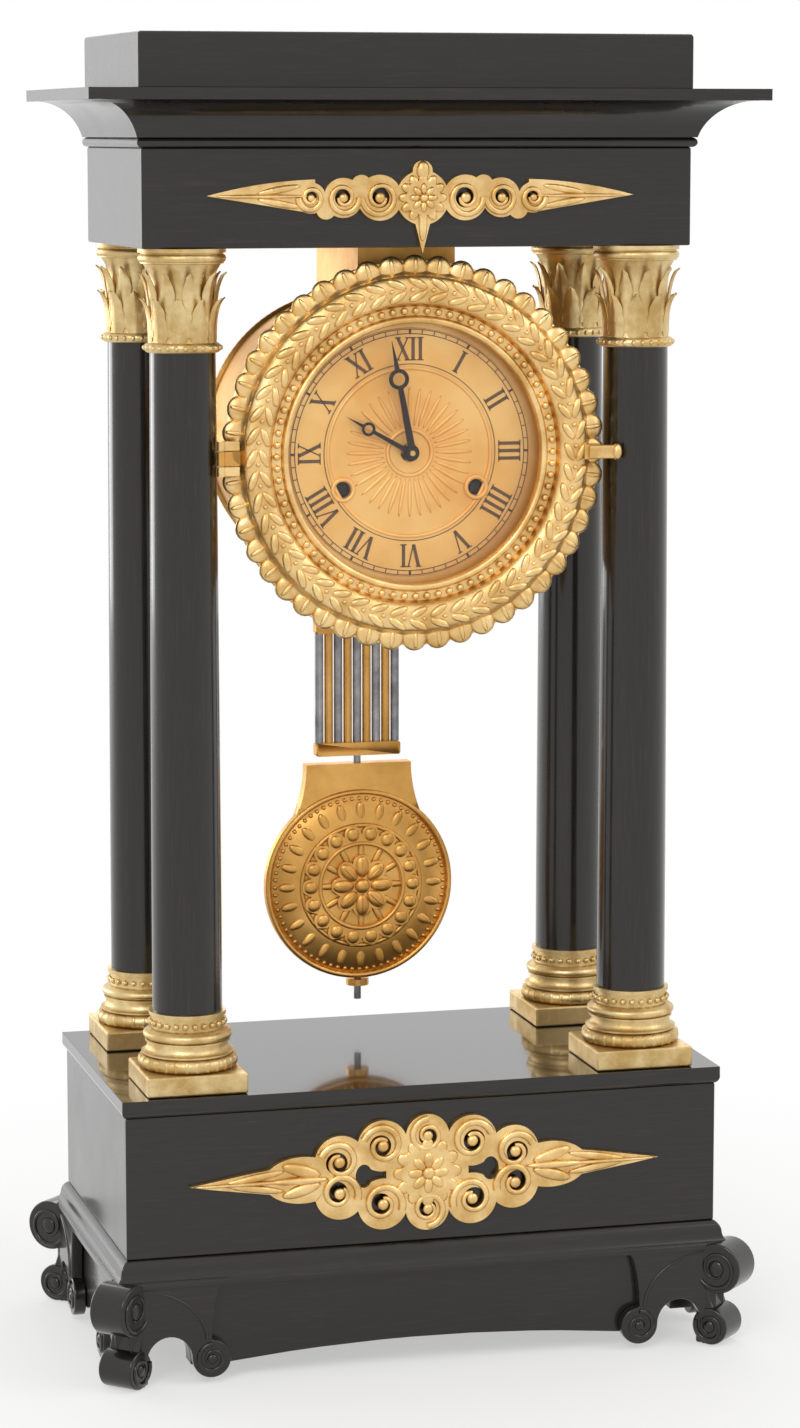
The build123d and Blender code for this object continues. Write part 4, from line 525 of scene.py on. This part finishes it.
def slab(name, sizes, at, turn=0.0, eased=0.0):
    """Rectangular piece with its sizes and middle given, turned in degrees about Z."""
    deselect()
    bpy.ops.mesh.primitive_cube_add(size=1.0, location=(0, 0, 0))
    piece = bpy.context.object
    piece.name = name
    piece.data.transform(Matrix.Translation(Vector(at) * MM)
                         @ Matrix.Rotation(radians(turn), 4, "Z")
                         @ Matrix.Diagonal((*(s * MM for s in sizes), 1.0)))
    if eased:
        apply_modifier(piece, "BEVEL", width=eased * MM, segments=3)
    return piece


def bored(piece, x, y, radius, depth=10.0):
    """Cuts a round hole along Z through a piece, with a drill of some depth."""
    deselect()
    bpy.ops.mesh.primitive_cylinder_add(vertices=48, radius=radius * MM, depth=depth * MM,
                                        location=(x * MM, y * MM, 0))
    drill = bpy.context.object
    apply_modifier(piece, "BOOLEAN", object=drill, operation="DIFFERENCE", solver="EXACT")
    bpy.data.objects.remove(drill, do_unlink=True)
    smoothed(piece)


def around(piece, count, name):
    """Ring of copies of a piece about the Z axis, joined into one."""
    copies = [copied(piece, Matrix.Rotation(2 * pi * i / count, 4, "Z"))
              for i in range(1, count)]
    return joined([piece] + copies, name)


def drawn_bar(name, points, thickness, ends=(1.0, 1.0)):
    """Round bar along points, tapering between two shares of its half thickness."""
    curve = bpy.data.curves.new(name, "CURVE")
    curve.dimensions = "3D"
    curve.bevel_depth = thickness * MM
    curve.bevel_resolution = 3
    curve.use_fill_caps = True
    line = curve.splines.new("POLY")
    line.points.add(len(points) - 1)
    for i, (dot, place) in enumerate(zip(line.points, points)):
        dot.co = (*(c * MM for c in place), 1.0)
        dot.radius = ends[0] + (ends[1] - ends[0]) * i / (len(points) - 1)
    piece = bpy.data.objects.new(name, curve)
    bpy.context.collection.objects.link(piece)
    pick(piece)
    bpy.ops.object.convert(target="MESH")
    smoothed(bpy.context.object, 60)
    return bpy.context.object


def scroll(name, centre, outer, inner, start, turns, thickness, level):
    """Scroll that winds in from its outer end to a bead in its eye; flat on its ground."""
    steps = 30
    points = []
    for i in range(steps + 1):
        angle = radians(start + 360 * turns * i / steps)
        radius = outer + (inner - outer) * i / steps
        points.append((centre[0] + radius * cos(angle), centre[1] + radius * sin(angle), level))
    bar = drawn_bar(name, points, thickness, (1.0, 0.5))
    eye = bead(name, (inner, inner, thickness), (*centre, level), segments=12)
    return joined([bar, eye], name)


def leaf(name, width, height, foot_radius, tip_radius, bottom, thickness=0.5):
    """Upright leaf beside the Z axis, ribbed down its middle, with its tip curling out."""
    deselect()
    bpy.ops.mesh.primitive_grid_add(x_subdivisions=8, y_subdivisions=10, size=2.0)
    piece = bpy.context.object
    piece.name = name
    for vertex in piece.data.vertices:
        side, up = vertex.co.x, (vertex.co.y + 1) / 2
        # Widest below the middle, with lobes along the edge
        spread = sin(pi * (0.18 + 0.82 * up) ** 0.8) ** 0.6 * (1 + 0.12 * sin(up * 22))
        half = width / 2 * max(spread, 0.05)
        # Leans out more and more, and droops at its tip
        out = foot_radius + (tip_radius - foot_radius) * up ** 3
        droop = height * (up - 0.12 * up ** 6)
        rib = 0.5 * (1 - abs(side)) - 0.35 * side ** 2
        vertex.co = Vector((out + rib, half * side, bottom + droop)) * MM
    apply_modifier(piece, "SOLIDIFY", thickness=thickness * MM, offset=-1.0)
    smoothed(piece, 60)
    return piece


def plate(name, outline, thickness, eased):
    """Flat plate with eased edges, drawn by its outline and centred on its thickness."""
    deselect()
    bpy.ops.mesh.primitive_circle_add(vertices=len(outline), radius=1.0, fill_type="NGON",
                                      location=(0, 0, 0))
    piece = bpy.context.object
    piece.name = name
    for vertex, (x, y) in zip(piece.data.vertices, outline):
        vertex.co = Vector((x, y, -thickness / 2)) * MM
    bpy.ops.object.mode_set(mode="EDIT")
    bpy.ops.mesh.select_all(action="SELECT")
    bpy.ops.mesh.extrude_region_move(TRANSFORM_OT_translate={"value": (0, 0, thickness * MM)})
    bpy.ops.object.mode_set(mode="OBJECT")
    outward(piece)
    rounded(piece, eased * MM, 50)
    smoothed(piece, 40)
    flattened(piece)
    return piece


def on_face(piece, origin, across):
    """Stands a piece drawn flat on an upright face, its x along a level direction."""
    up = Vector((0, 0, 1))
    turn = Matrix((across, up, across.cross(up))).transposed().to_4x4()
    piece.data.transform(Matrix.Translation(origin * MM) @ turn)
    return piece


def placed(piece, at):
    """Moves a finished piece, in its mesh, by a distance in millimetres."""
    piece.data.transform(Matrix.Translation(Vector(at) * MM))
    return piece


# Operators, one for each group of pieces

class CLOCK_OT_finishes(bpy.types.Operator):
    """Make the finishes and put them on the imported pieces."""
    bl_idname = "clock.finishes"
    bl_label = "Finishes"

    def execute(self, context):
        make_finishes(context.scene.clock_colours, context.scene.clock_sizes)
        for finish, nodes in NODE_FINISH.items():
            for name in nodes:
                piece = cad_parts[name]
                piece.data.materials.clear()
                piece.data.materials.append(FINISHES[finish])
        return {"FINISHED"}


class CLOCK_OT_woodwork(bpy.types.Operator):
    """Round the edges of the veneered boards."""
    bl_idname = "clock.woodwork"
    bl_label = "Woodwork"

    def execute(self, context):
        eased = context.scene.clock_sizes.eased
        for node in ("base_plinth", "base_box", "frieze_box", "cornice", "top_block", "base_top"):
            finish = "wood_polished" if node == "base_top" else "wood"
            smooth_copy(node, finish, eased=eased, angle=40, ending="_eased")
        return {"FINISHED"}


class CLOCK_OT_feet(bpy.types.Operator):
    """Carve the scroll feet: a scrolled block on each corner and two arched wings."""
    bl_idname = "clock.feet"
    bl_label = "Feet"

    def execute(self, context):
        pieces = []
        for sx in (-1, 1):
            for sy in (-1, 1):
                pieces += self.block(sx, sy)
                corner = Vector((sx * HALF_WIDTH, sy * HALF_DEPTH, 0.0))
                pieces += self.wing(corner, Vector((-sx, 0, 0)), Vector((0, sy, 0)))
                pieces += self.wing(corner, Vector((0, -sy, 0)), Vector((sx, 0, 0)))
        dressed(joined(pieces, "feet_carved"), "wood", "case", "scroll_feet")
        return {"FINISHED"}

    def block(self, sx, sy):
        """Post on the diagonal between a volute above and a toe below."""
        corner = Vector((sx * HALF_WIDTH, sy * HALF_DEPTH, 0.0))
        outward_way = Vector((sx, sy, 0.0)).normalized()
        across = Vector((-sy, sx, 0.0)).normalized()
        post = [(-4.0, 0.2), (3.4, 0.2), (2.6, 14.0), (1.0, 18.5), (1.6, 30.0),
                (1.6, FOOT_HEIGHT), (-4.0, FOOT_HEIGHT)]
        pieces = [on_face(plate("post", post, 12.6, 0.8), corner, outward_way)]
        for centre, outer, start in (((4.5, 29.5), 9.45, 200), ((1.9, 7.1), 7.0, 160)):
            disc = arc(centre, (outer, outer), 0, 350, 35)
            pieces.append(on_face(plate("scroll_disc", disc, 14.0, 0.8), corner, outward_way))
            for side in (-1, 1):
                line = scroll("scroll_line", centre, outer - 1.3, outer * 0.34, start, 1.3, 0.9,
                              0.0)
                pieces.append(on_face(line, corner + across * side * 7.0, outward_way))
        return pieces

    def wing(self, corner, along, out):
        """Plate on the apron with an arch below, from the corner post to a curl at its end."""
        outline = ([(0.0, 0.2), (5.4, 0.2), (6.0, 6.0)]
                   + arc((14.6, 9.0), (8.4, 9.0), 180, 0, 16)
                   + arc((30.0, 9.0), (7.0, 7.0), 180, 450, 27)[1:]
                   + [(30.3, 22.0), (31.2, 28.6), (32.6, 34.3), (34.4, 37.0),
                      (37.0, FOOT_HEIGHT), (0.0, FOOT_HEIGHT)])
        face = on_face(plate("wing", outline, 4.5, 0.6), corner + out * 2.3, along)
        curl = on_face(scroll("curl", (30.0, 9.0), 5.6, 1.9, 90, 1.4, 0.9, 0.0),
                       corner + out * 4.55, along)
        line = [(x, y, 0.0) for x, y in arc((2.0, 15.6), (26.2, 20.0), 84, 2, 18)]
        vein = on_face(drawn_bar("vein", line, 0.7, (0.5, 1.0)), corner + out * 4.5, along)
        return [face, curl, vein]


class CLOCK_OT_columns(bpy.types.Operator):
    """Turn the columns and dress their bases and capitals."""
    bl_idname = "clock.columns"
    bl_label = "Columns"

    def execute(self, context):
        shafts, bases, capitals = [], [], []
        for x in (-COLUMN_X, COLUMN_X):
            for y in (-COLUMN_Y, COLUMN_Y):
                shafts.append(placed(self.shaft(), (x, y, 0)))
                bases.append(placed(self.base(), (x, y, 0)))
                capitals.append(placed(self.capital(), (x, y, 0)))
        dressed(joined(shafts, "columns_turned"), "wood_upright", "case", "column_shafts")
        # Bases and capitals take the paler gilding, darkened as painted shade
        dressed(joined(bases, "column_bases_turned"), "pale_gilt_painted_shade", "case", "column_bases")
        dressed(joined(capitals, "capitals_carved"), "pale_gilt_painted_shade", "case", "capitals")
        return {"FINISHED"}

    def shaft(self):
        """Plain shaft that tapers more and more towards its top."""
        span = CAPITAL_FOOT - SHAFT_FOOT
        return turned("shaft", [
            (12.6 - 0.9 * share ** 1.5, SHAFT_FOOT + span * share)
            for share in (0.0, 0.15, 0.3, 0.45, 0.6, 0.75, 0.9, 1.0)])

    def base(self):
        """Square plinth, two swellings with a hollow between them, and a beaded collar."""
        plinth = slab("plinth", (36.6, 36.6, 7.4), (0, 0, BASE_TOP + 3.8), eased=0.7)
        low = BASE_TOP + 7.5
        turning = turned("base_turning", (
            [(15.5, low)] + arc((15.4, low + 2.5), (2.6, 2.5), -90, 90, 10)
            + [(15.6, low + 5.2), (16.6, low + 5.4), (16.6, low + 6.0)]
            + arc((17.2, low + 8.6), (2.6, 2.6), -100, -180, 5)
            + [(14.6, low + 9.6), (15.4, low + 9.8), (15.4, low + 10.4)]
            + arc((14.4, low + 12.2), (1.7, 1.6), -80, 80, 8)
            + [(14.3, low + 14.2), (13.0, low + 14.6), (13.0, SHAFT_FOOT - 1.6),
               (13.9, SHAFT_FOOT - 1.4), (13.9, SHAFT_FOOT)]))
        beads = around(bead("base_bead", (1.15, 1.15, 1.15), (13.3, 0, low + 16.6), segments=12),
                       24, "base_beads")
        gadroons = around(bead("gadroon", (1.1, 1.5, 2.2), (17.0, 0, low + 2.5), segments=12),
                          28, "gadroons")
        return joined([turning, plinth, beads, gadroons], "column_base")

    def capital(self):
        """Neck ring, two rows of leaves round a bell, and a moulded ring on top."""
        foot, head = CAPITAL_FOOT, FRIEZE
        turning = turned("capital_turning", (
            [(11.7, foot)] + arc((11.9, foot + 1.8), (1.8, 1.8), -90, 90, 10)
            + [(11.7, foot + 4.0), (11.2, head - 12.0), (12.2, head - 8.0),
               (13.8, head - 5.4), (14.8, head - 5.2)]
            + arc((14.0, head - 3.4), (1.6, 1.6), -60, 70, 7)
            + [(14.6, head - 1.6), (15.6, head - 1.4), (15.6, head)]))
        low = around(leaf("low_leaf", 6.4, 17.5, 11.9, 15.2, foot + 3.6), 10, "low_leaves")
        high = leaf("high_leaf", 6.0, 25.5, 11.6, 15.5, foot + 5.6)
        high.data.transform(Matrix.Rotation(pi / 10, 4, "Z"))
        high = around(high, 10, "high_leaves")
        beads = around(bead("neck_bead", (1.0, 1.0, 1.0), (13.3, 0, foot + 1.8), segments=12),
                       26, "neck_beads")
        return joined([turning, low, high, beads], "capital")


class CLOCK_OT_bezel(bpy.types.Operator):
    """Turn the bezel and lay its wreath, its beads, its lobed rim, catch and hinge."""
    bl_idname = "clock.bezel"
    bl_label = "Bezel"

    def execute(self, context):
        profile = ([(48.3, 0.2), (48.3, 1.8), (46.7, 1.8)]
                   + arc((47.9, 4.2), (1.2, 1.2), 180, 10, 8)
                   + [(49.5, 3.5), (52.6, 3.5)]
                   + arc((58.6, 4.6), (5.3, 3.4), 175, 5, 22)
                   + [(64.6, 4.2), (65.4, 3.2), (69.0, 2.0), (69.2, 0.2)])
        ring = turned("bezel_ring", profile, 160, closed=True)
        pearls = around(bead("pearl", (1.35, 1.35, 1.35), (51.1, 0, 4.1), segments=12),
                        76, "pearls")
        lobes = around(bead("lobe", (4.7, 4.75, 1.9), (66.3, 0, 2.3), segments=20),
                       LOBES, "lobes")
        lips = around(bead("lobe_rib", (3.4, 1.0, 1.0), (66.8, 0, 3.7), segments=12),
                      LOBES, "ribs")
        outer = around(bead("outer_leaf", (4.0, 1.6, 1.3), (60.9, 0, 7.6), 62), LOBES,
                       "outer_leaves")
        inner = around(bead("inner_leaf", (3.8, 1.5, 1.3), (56.5, 0, 7.6), 118), LOBES,
                       "inner_leaves")
        berries = around(bead("berry", (0.9, 0.9, 0.9), (58.7, 2.2, 8.2), segments=12),
                         LOBES, "berries")
        bezel = facing(joined([ring, pearls, lobes, lips, outer, inner, berries], "bezel"),
                       BEZEL_BACK)
        catch = slab("catch", (11.0, 2.2, 5.0), (68.4, -50.1, DIAL_LEVEL), eased=0.8)
        knob = bead("catch_knob", (1.9, 2.0, 3.0), (73.4, -50.4, DIAL_LEVEL))
        foot = slab("catch_foot", (6.0, 6.6, 5.4), (64.5, -46.6, DIAL_LEVEL), eased=0.4)
        knuckles = []
        for side in (-1, 1):
            level = DIAL_LEVEL + side * 4.5
            deselect()
            bpy.ops.mesh.primitive_cylinder_add(vertices=24, radius=1.5 * MM, depth=3.4 * MM)
            knuckle = placed(context.object, (-72.0, -47.8, level))
            smoothed(knuckle)
            arm = slab("hinge_arm", (6.4, 2.4, 3.4), (-68.6, -47.2, level), eased=0.3)
            knuckles += [knuckle, arm]
        whole = joined([bezel, catch, knob, foot] + knuckles, "bezel_wreath")
        dressed(whole, "gilt", "front_door", "front_bezel")
        return {"FINISHED"}


NUMERALS = ("XII", "I", "II", "III", "IIII", "V", "VI", "VII", "VIII", "IX", "X", "XI")
# Each stroke of a letter: place across, place up, width, height, lean to the left in degrees
STROKES = {
    "I": (2.7, ((0, 0, 1.2, 8.2, 0), (0, 3.95, 2.3, 0.4, 0), (0, -3.95, 2.3, 0.4, 0))),
    "V": (4.8, ((-0.95, 0, 1.2, 8.2, 13.3), (1.0, 0, 0.45, 8.2, -13.3),
                (-1.95, 3.95, 2.1, 0.4, 0), (1.95, 3.95, 1.7, 0.4, 0))),
    "X": (5.0, ((0, 0, 1.2, 8.9, 25.0), (0, 0, 0.45, 8.9, -25.0),
                (-1.8, 3.95, 2.1, 0.4, 0), (1.8, 3.95, 1.7, 0.4, 0),
                (-1.8, -3.95, 1.7, 0.4, 0), (1.8, -3.95, 2.1, 0.4, 0))),
}


class CLOCK_OT_dial(bpy.types.Operator):
    """Turn the dial and lay its numerals, minute track, rays and winding collars."""
    bl_idname = "clock.dial"
    bl_label = "Dial"

    def execute(self, context):
        level = 0.5
        marks = []
        for hour, letters in enumerate(NUMERALS):
            across = -sum(STROKES[letter][0] for letter in letters) / 2
            numeral = []
            for letter in letters:
                width, strokes = STROKES[letter]
                for x, y, wide, high, lean in strokes:
                    numeral.append(slab("stroke", (wide, high, 0.2),
                                        (across + width / 2 + x, y, level), lean))
                across += width
            numeral = joined(numeral, "numeral")
            numeral.data.transform(Matrix.Rotation(-hour * pi / 6, 4, "Z")
                                   @ Matrix.Translation(Vector((0, 37.2, 0)) * MM))
            marks.append(numeral)
        for radius in (31.8, 42.6, 44.2):
            marks.append(turned("track", [(radius - 0.14, 0.42), (radius + 0.14, 0.42),
                                          (radius + 0.14, 0.58), (radius - 0.14, 0.58)],
                                128, closed=True))
        marks.append(around(slab("minute", (0.3, 1.4, 0.2), (0, 43.4, level)), 60, "minutes"))
        marks.append(around(slab("fifth", (0.8, 1.4, 0.2), (0, 43.4, level)), 12, "fifths"))
        dressed(facing(joined(marks, "chapters"), DIAL), "wax", "case")

        rays = around(bead("ray", (7.0, 0.75, 0.5), (16.5, 0, 0.1), segments=12), 36, "rays")
        ring = half_round("centre_ring", 8.2, 0.1, (0.8, 0.7), 0.02)
        edge = half_round("inner_edge", 30.3, 0.1, (0.7, 0.6), 0.02)
        pieces = [rays, ring, edge]
        for side in (-1, 1):
            collar = half_round("winding_collar", 3.8, 0.5, (0.8, 0.6), 0.02, 48)
            pieces.append(placed(collar, (side * WINDING_X, WINDING_Y, 0.0)))
        dressed(facing(joined(pieces, "dial_relief"), DIAL), "dial", "case")

        disc = turned("dial_plate", [(51.0, -1.5), (51.0, 0.0), (44.8, 0.0), (44.6, 0.4),
                                     (30.9, 0.4), (30.7, 0.0), (6.0, 0.0)])
        for x, y, radius in ((-WINDING_X, WINDING_Y, 2.9), (WINDING_X, WINDING_Y, 2.9),
                             (0.0, 0.0, 3.4)):
            bored(disc, x, y, radius)
        dressed(facing(disc, DIAL), "dial", "case", "dial")
        return {"FINISHED"}


class CLOCK_OT_mounts(bpy.types.Operator):
    """Lay scrolls, rosettes and leaves on the two pierced mounts."""
    bl_idname = "clock.mounts"
    bl_label = "Mounts"

    def execute(self, context):
        smooth_copy("base_mount", "gilt", eased=0.5 * MM)
        pieces = []
        for sx in (-1, 1):
            for sy in (-1, 1):
                way = sx * sy
                for x, y, outer, turns in ((16.8, 10.8, 7.6, 1.3), (33.0, 5.8, 7.2, 1.2)):
                    pieces.append(scroll("scroll", (sx * x, sy * y), outer, 2.2,
                                         90 - way * 90 + sx * 20, way * turns, 1.5, 0.3))
                pieces.append(bead("palm", (7.5, 2.3, 1.5), (sx * 47.0, sy * 3.6, 0.2),
                                   way * 16))
                pieces.append(bead("tip_leaf", (11.0, 1.5, 1.2), (sx * 64.0, sy * 2.0, 0.1),
                                   -way * 9))
            pieces.append(bead("palm_rib", (11.0, 1.5, 1.9), (sx * 48.0, 0, 0.3)))
            pieces.append(bead("tip_rib", (20.0, 0.8, 1.5), (sx * 67.0, 0, 0.2)))
            pieces.append(scroll("crest_scroll", (0, sx * 13.6), 6.4, 2.0, 90 * sx, 1.4, 1.3,
                                 0.3))
        pieces += self.rosette(12.2, 7.6)
        dressed(facing(joined(pieces, "base_mount_relief"), BASE_MOUNT), "gilt", "case")

        smooth_copy("frieze_mount", "gilt", eased=0.4 * MM)
        pieces = []
        for sx in (-1, 1):
            for i, (x, outer) in enumerate(((15.6, 6.6), (28.9, 5.8), (40.6, 4.6))):
                way = sx * (1 if i % 2 else -1)
                pieces.append(scroll("scroll", (sx * x, 0), outer, outer * 0.3,
                                     90 + way * 90, way * 1.5, 1.2, 0.2))
            pieces.append(bead("leaf_rib", (17.0, 0.8, 1.3), (sx * 58.0, 0.6, 0.2)))
            for side in (-1, 1):
                pieces.append(bead("leaf_lobe", (8.0, 1.3, 1.0),
                                   (sx * 52.0, side * 2.4 + 0.5, 0.1), -side * sx * 10))
        pieces.append(bead("crest", (2.4, 3.4, 1.4), (0, 9.6, 0.2)))
        pieces.append(bead("drop", (1.6, 6.0, 1.2), (0, -9.4, 0.1)))
        pieces += self.rosette(8.4, 5.2)
        dressed(facing(joined(pieces, "frieze_mount_relief"), FRIEZE_MOUNT), "gilt", "case")
        return {"FINISHED"}

    def rosette(self, outer, inner):
        """Round flower: two rows of petals and a boss."""
        length = outer - inner
        back = around(bead("petal", (length * 0.75, outer * 0.2, 0.9),
                           (inner + length * 0.4, 0, 0.3)), 12, "back_petals")
        front = around(bead("petal", (inner * 0.4, inner * 0.24, 1.2), (inner * 0.62, 0, 1.0)),
                       8, "front_petals")
        boss = bead("boss", (inner * 0.3, inner * 0.3, 1.4), (0, 0, 1.5))
        return [back, front, boss]


class CLOCK_OT_pendulum(bpy.types.Operator):
    """Smooth the gridiron and the bob, and lay the bob's rim, petals and flower."""
    bl_idname = "clock.pendulum"
    bl_label = "Pendulum"

    def execute(self, context):
        for node, finish, body in (("gridiron_yokes", "bronze", "pendulum"),
                                   ("brass_rods", "bronze", "pendulum"),
                                   ("steel_rods", "steel", "pendulum"),
                                   ("pendulum_rod", "steel", "pendulum"),
                                   ("bob", "bronze", "pendulum_bob"),
                                   ("bob_mount", "bronze", "pendulum_bob"),
                                   ("rating_nut", "bronze", "nut")):
            smooth_copy(node, finish, body)
        rim = half_round("rim", 35.6, 2.2, (1.2, 1.6), 1.0)
        pearls = around(bead("rim_pearl", (0.9, 0.9, 0.9), (33.1, 0, 3.2), segments=12),
                        72, "rim_pearls")
        petals = around(bead("petal", (4.0, 1.8, 0.9), (28.2, 0, 5.0)), 24, "petals")
        inner = turned("inner_rim", [(22.4, 5.6)] + arc((23.2, 6.0), (0.9, 0.9), 180, 0, 8)
                       + [(24.1, 5.2)], 128, closed=True)
        star = around(bead("star", (4.6, 1.3, 0.8), (13.0, 0, 6.2)), 12, "star")
        line = half_round("line", 16.4, 7.5, (0.8, 0.7), 7.4)
        shells = around(bead("shell", (2.7, 2.5, 1.1), (20.0, 0, 7.4)), 18, "shells")
        flower = around(bead("flower", (4.4, 2.7, 1.4), (7.4, 0, 7.6)), 8, "flower")
        veins = around(bead("vein", (3.4, 0.4, 0.5), (7.0, 0, 8.9), segments=12), 8, "veins")
        boss = bead("boss", (2.9, 2.9, 1.6), (0, 0, 8.3))
        relief = joined([rim, pearls, petals, inner, star, line, shells, flower, veins, boss],
                        "bob_relief")
        dressed(facing(relief, BOB), "bronze", "pendulum_bob")
        return {"FINISHED"}


class CLOCK_OT_cylinder(bpy.types.Operator):
    """Smooth the drum, its cover, the glass, the hands and the small fittings."""
    bl_idname = "clock.cylinder"
    bl_label = "Drum and fittings"

    def execute(self, context):
        for node, finish, body in (("drum", "bronze", "case"),
                                   ("back_cover", "bronze", "rear_cover"),
                                   ("cover_knob", "brass", "rear_cover"),
                                   ("glass", "glass", "front_door"),
                                   ("hour_hand", "browned", "hour_pipe"),
                                   ("minute_hand", "browned", "minute_arbor"),
                                   ("tie_nuts", "steel", "case"),
                                   # The winding arbors take the dark tempered steel so that the
                                   # winding holes show dark: painted shade inside the holes
                                   ("going_arbor", "browned", "going_winder"),
                                   ("strike_arbor", "browned", "strike_winder")):
            smooth_copy(node, finish, body)
        return {"FINISHED"}


class CLOCK_OT_stage(bpy.types.Operator):
    """Add the floor, the lights, the sky and the camera."""
    bl_idname = "clock.stage"
    bl_label = "Stage"

    def execute(self, context):
        self.floor(context.scene.clock_colours.floor)
        self.sky(context.scene)
        for name, place, size, power in LIGHTS:
            deselect()
            bpy.ops.object.light_add(type="AREA", location=place)
            light = context.object
            light.name = name
            light.data.size = size
            light.data.energy = power
            light.rotation_euler = self.aimed(Vector(place), LIGHT_AIM)
        bpy.ops.object.camera_add(location=CAMERA_PLACE,
                                  rotation=self.aimed(CAMERA_PLACE, CAMERA_AIM))
        camera = context.object
        camera.data.lens = context.scene.clock_sizes.lens
        camera.data.sensor_width = SENSOR_WIDTH
        context.scene.camera = camera
        context.scene.view_settings.view_transform = "Standard"
        return {"FINISHED"}

    def aimed(self, place, aim):
        """Rotation of a lamp or a camera that looks from a place at an aim."""
        return (aim - place).to_track_quat("-Z", "Y").to_euler()

    def floor(self, colour):
        """Pale floor that takes a soft shadow near the clock and fades to white around it."""
        deselect()
        bpy.ops.mesh.primitive_circle_add(vertices=96, radius=FLOOR_RADIUS, fill_type="NGON",
                                          location=(0, 0, FLOOR_LEVEL))
        floor = bpy.context.object
        floor.name = "floor"
        material, tree, output = new_material("pale_floor")
        reach = add_node(tree, "ShaderNodeVectorMath", {0: object_place(tree)},
                         operation="LENGTH")
        fade = ranged(tree, reach.outputs["Value"], (0.1, 0.42), (0.5, 1.0))
        card = add_node(tree, "ShaderNodeBsdfDiffuse", {"Color": colour})
        glow = add_node(tree, "ShaderNodeEmission", {"Color": (1, 1, 1, 1), "Strength": 1.0})
        share = add_node(tree, "ShaderNodeMath",
                         {0: seen_by(tree, "Is Camera Ray", "Is Glossy Ray"), 1: fade},
                         operation="MULTIPLY")
        both = add_node(tree, "ShaderNodeMixShader", {0: share.outputs["Value"],
                                                      1: card.outputs["BSDF"],
                                                      2: glow.outputs["Emission"]})
        tree.links.new(both.outputs["Shader"], output.inputs["Surface"])
        floor.data.materials.append(material)

    def sky(self, scene):
        """Even white sky, dimmer as a light than where it is seen or mirrored."""
        world = bpy.data.worlds.new("studio")
        world.use_nodes = True
        scene.world = world
        tree = world.node_tree
        tree.nodes.clear()
        seen = seen_by(tree, "Is Camera Ray", "Is Transmission Ray", "Is Glossy Ray")
        sky = add_node(tree, "ShaderNodeBackground",
                       {"Color": (1, 1, 1, 1),
                        "Strength": ranged(tree, seen, onto=(0.62, 1.0))})
        add_node(tree, "ShaderNodeOutputWorld", {"Surface": sky.outputs["Background"]})


class CLOCK_PT_panel(bpy.types.Panel):
    """Sizes, colours and pieces of the clock."""
    bl_label = "Clock"
    bl_idname = "CLOCK_PT_panel"
    bl_space_type = "VIEW_3D"
    bl_region_type = "UI"
    bl_category = "Clock"

    def draw(self, context):
        for group in (context.scene.clock_sizes, context.scene.clock_colours):
            for name in group.__annotations__:
                self.layout.prop(group, name)
        for operator in OPERATORS:
            self.layout.operator(operator.bl_idname)


OPERATORS = (CLOCK_OT_stage, CLOCK_OT_finishes, CLOCK_OT_woodwork, CLOCK_OT_feet,
             CLOCK_OT_columns, CLOCK_OT_bezel, CLOCK_OT_dial, CLOCK_OT_mounts,
             CLOCK_OT_pendulum, CLOCK_OT_cylinder)
CLASSES = (ClockColours, ClockSizes) + OPERATORS + (CLOCK_PT_panel,)


def register():
    """Registers the settings, the operators and the panel."""
    for made in CLASSES:
        bpy.utils.register_class(made)
    bpy.types.Scene.clock_colours = PointerProperty(type=ClockColours)
    bpy.types.Scene.clock_sizes = PointerProperty(type=ClockSizes)


def unregister():
    """Takes everything out again, in reverse order."""
    del bpy.types.Scene.clock_sizes
    del bpy.types.Scene.clock_colours
    for made in reversed(CLASSES):
        bpy.utils.unregister_class(made)


def main():
    """Builds everything in order."""
    register()
    bpy.ops.clock.stage()
    bpy.ops.clock.finishes()
    bpy.ops.clock.woodwork()
    bpy.ops.clock.feet()
    bpy.ops.clock.columns()
    bpy.ops.clock.bezel()
    bpy.ops.clock.dial()
    bpy.ops.clock.mounts()
    bpy.ops.clock.pendulum()
    bpy.ops.clock.cylinder()


if __name__ == "__main__":
    main()
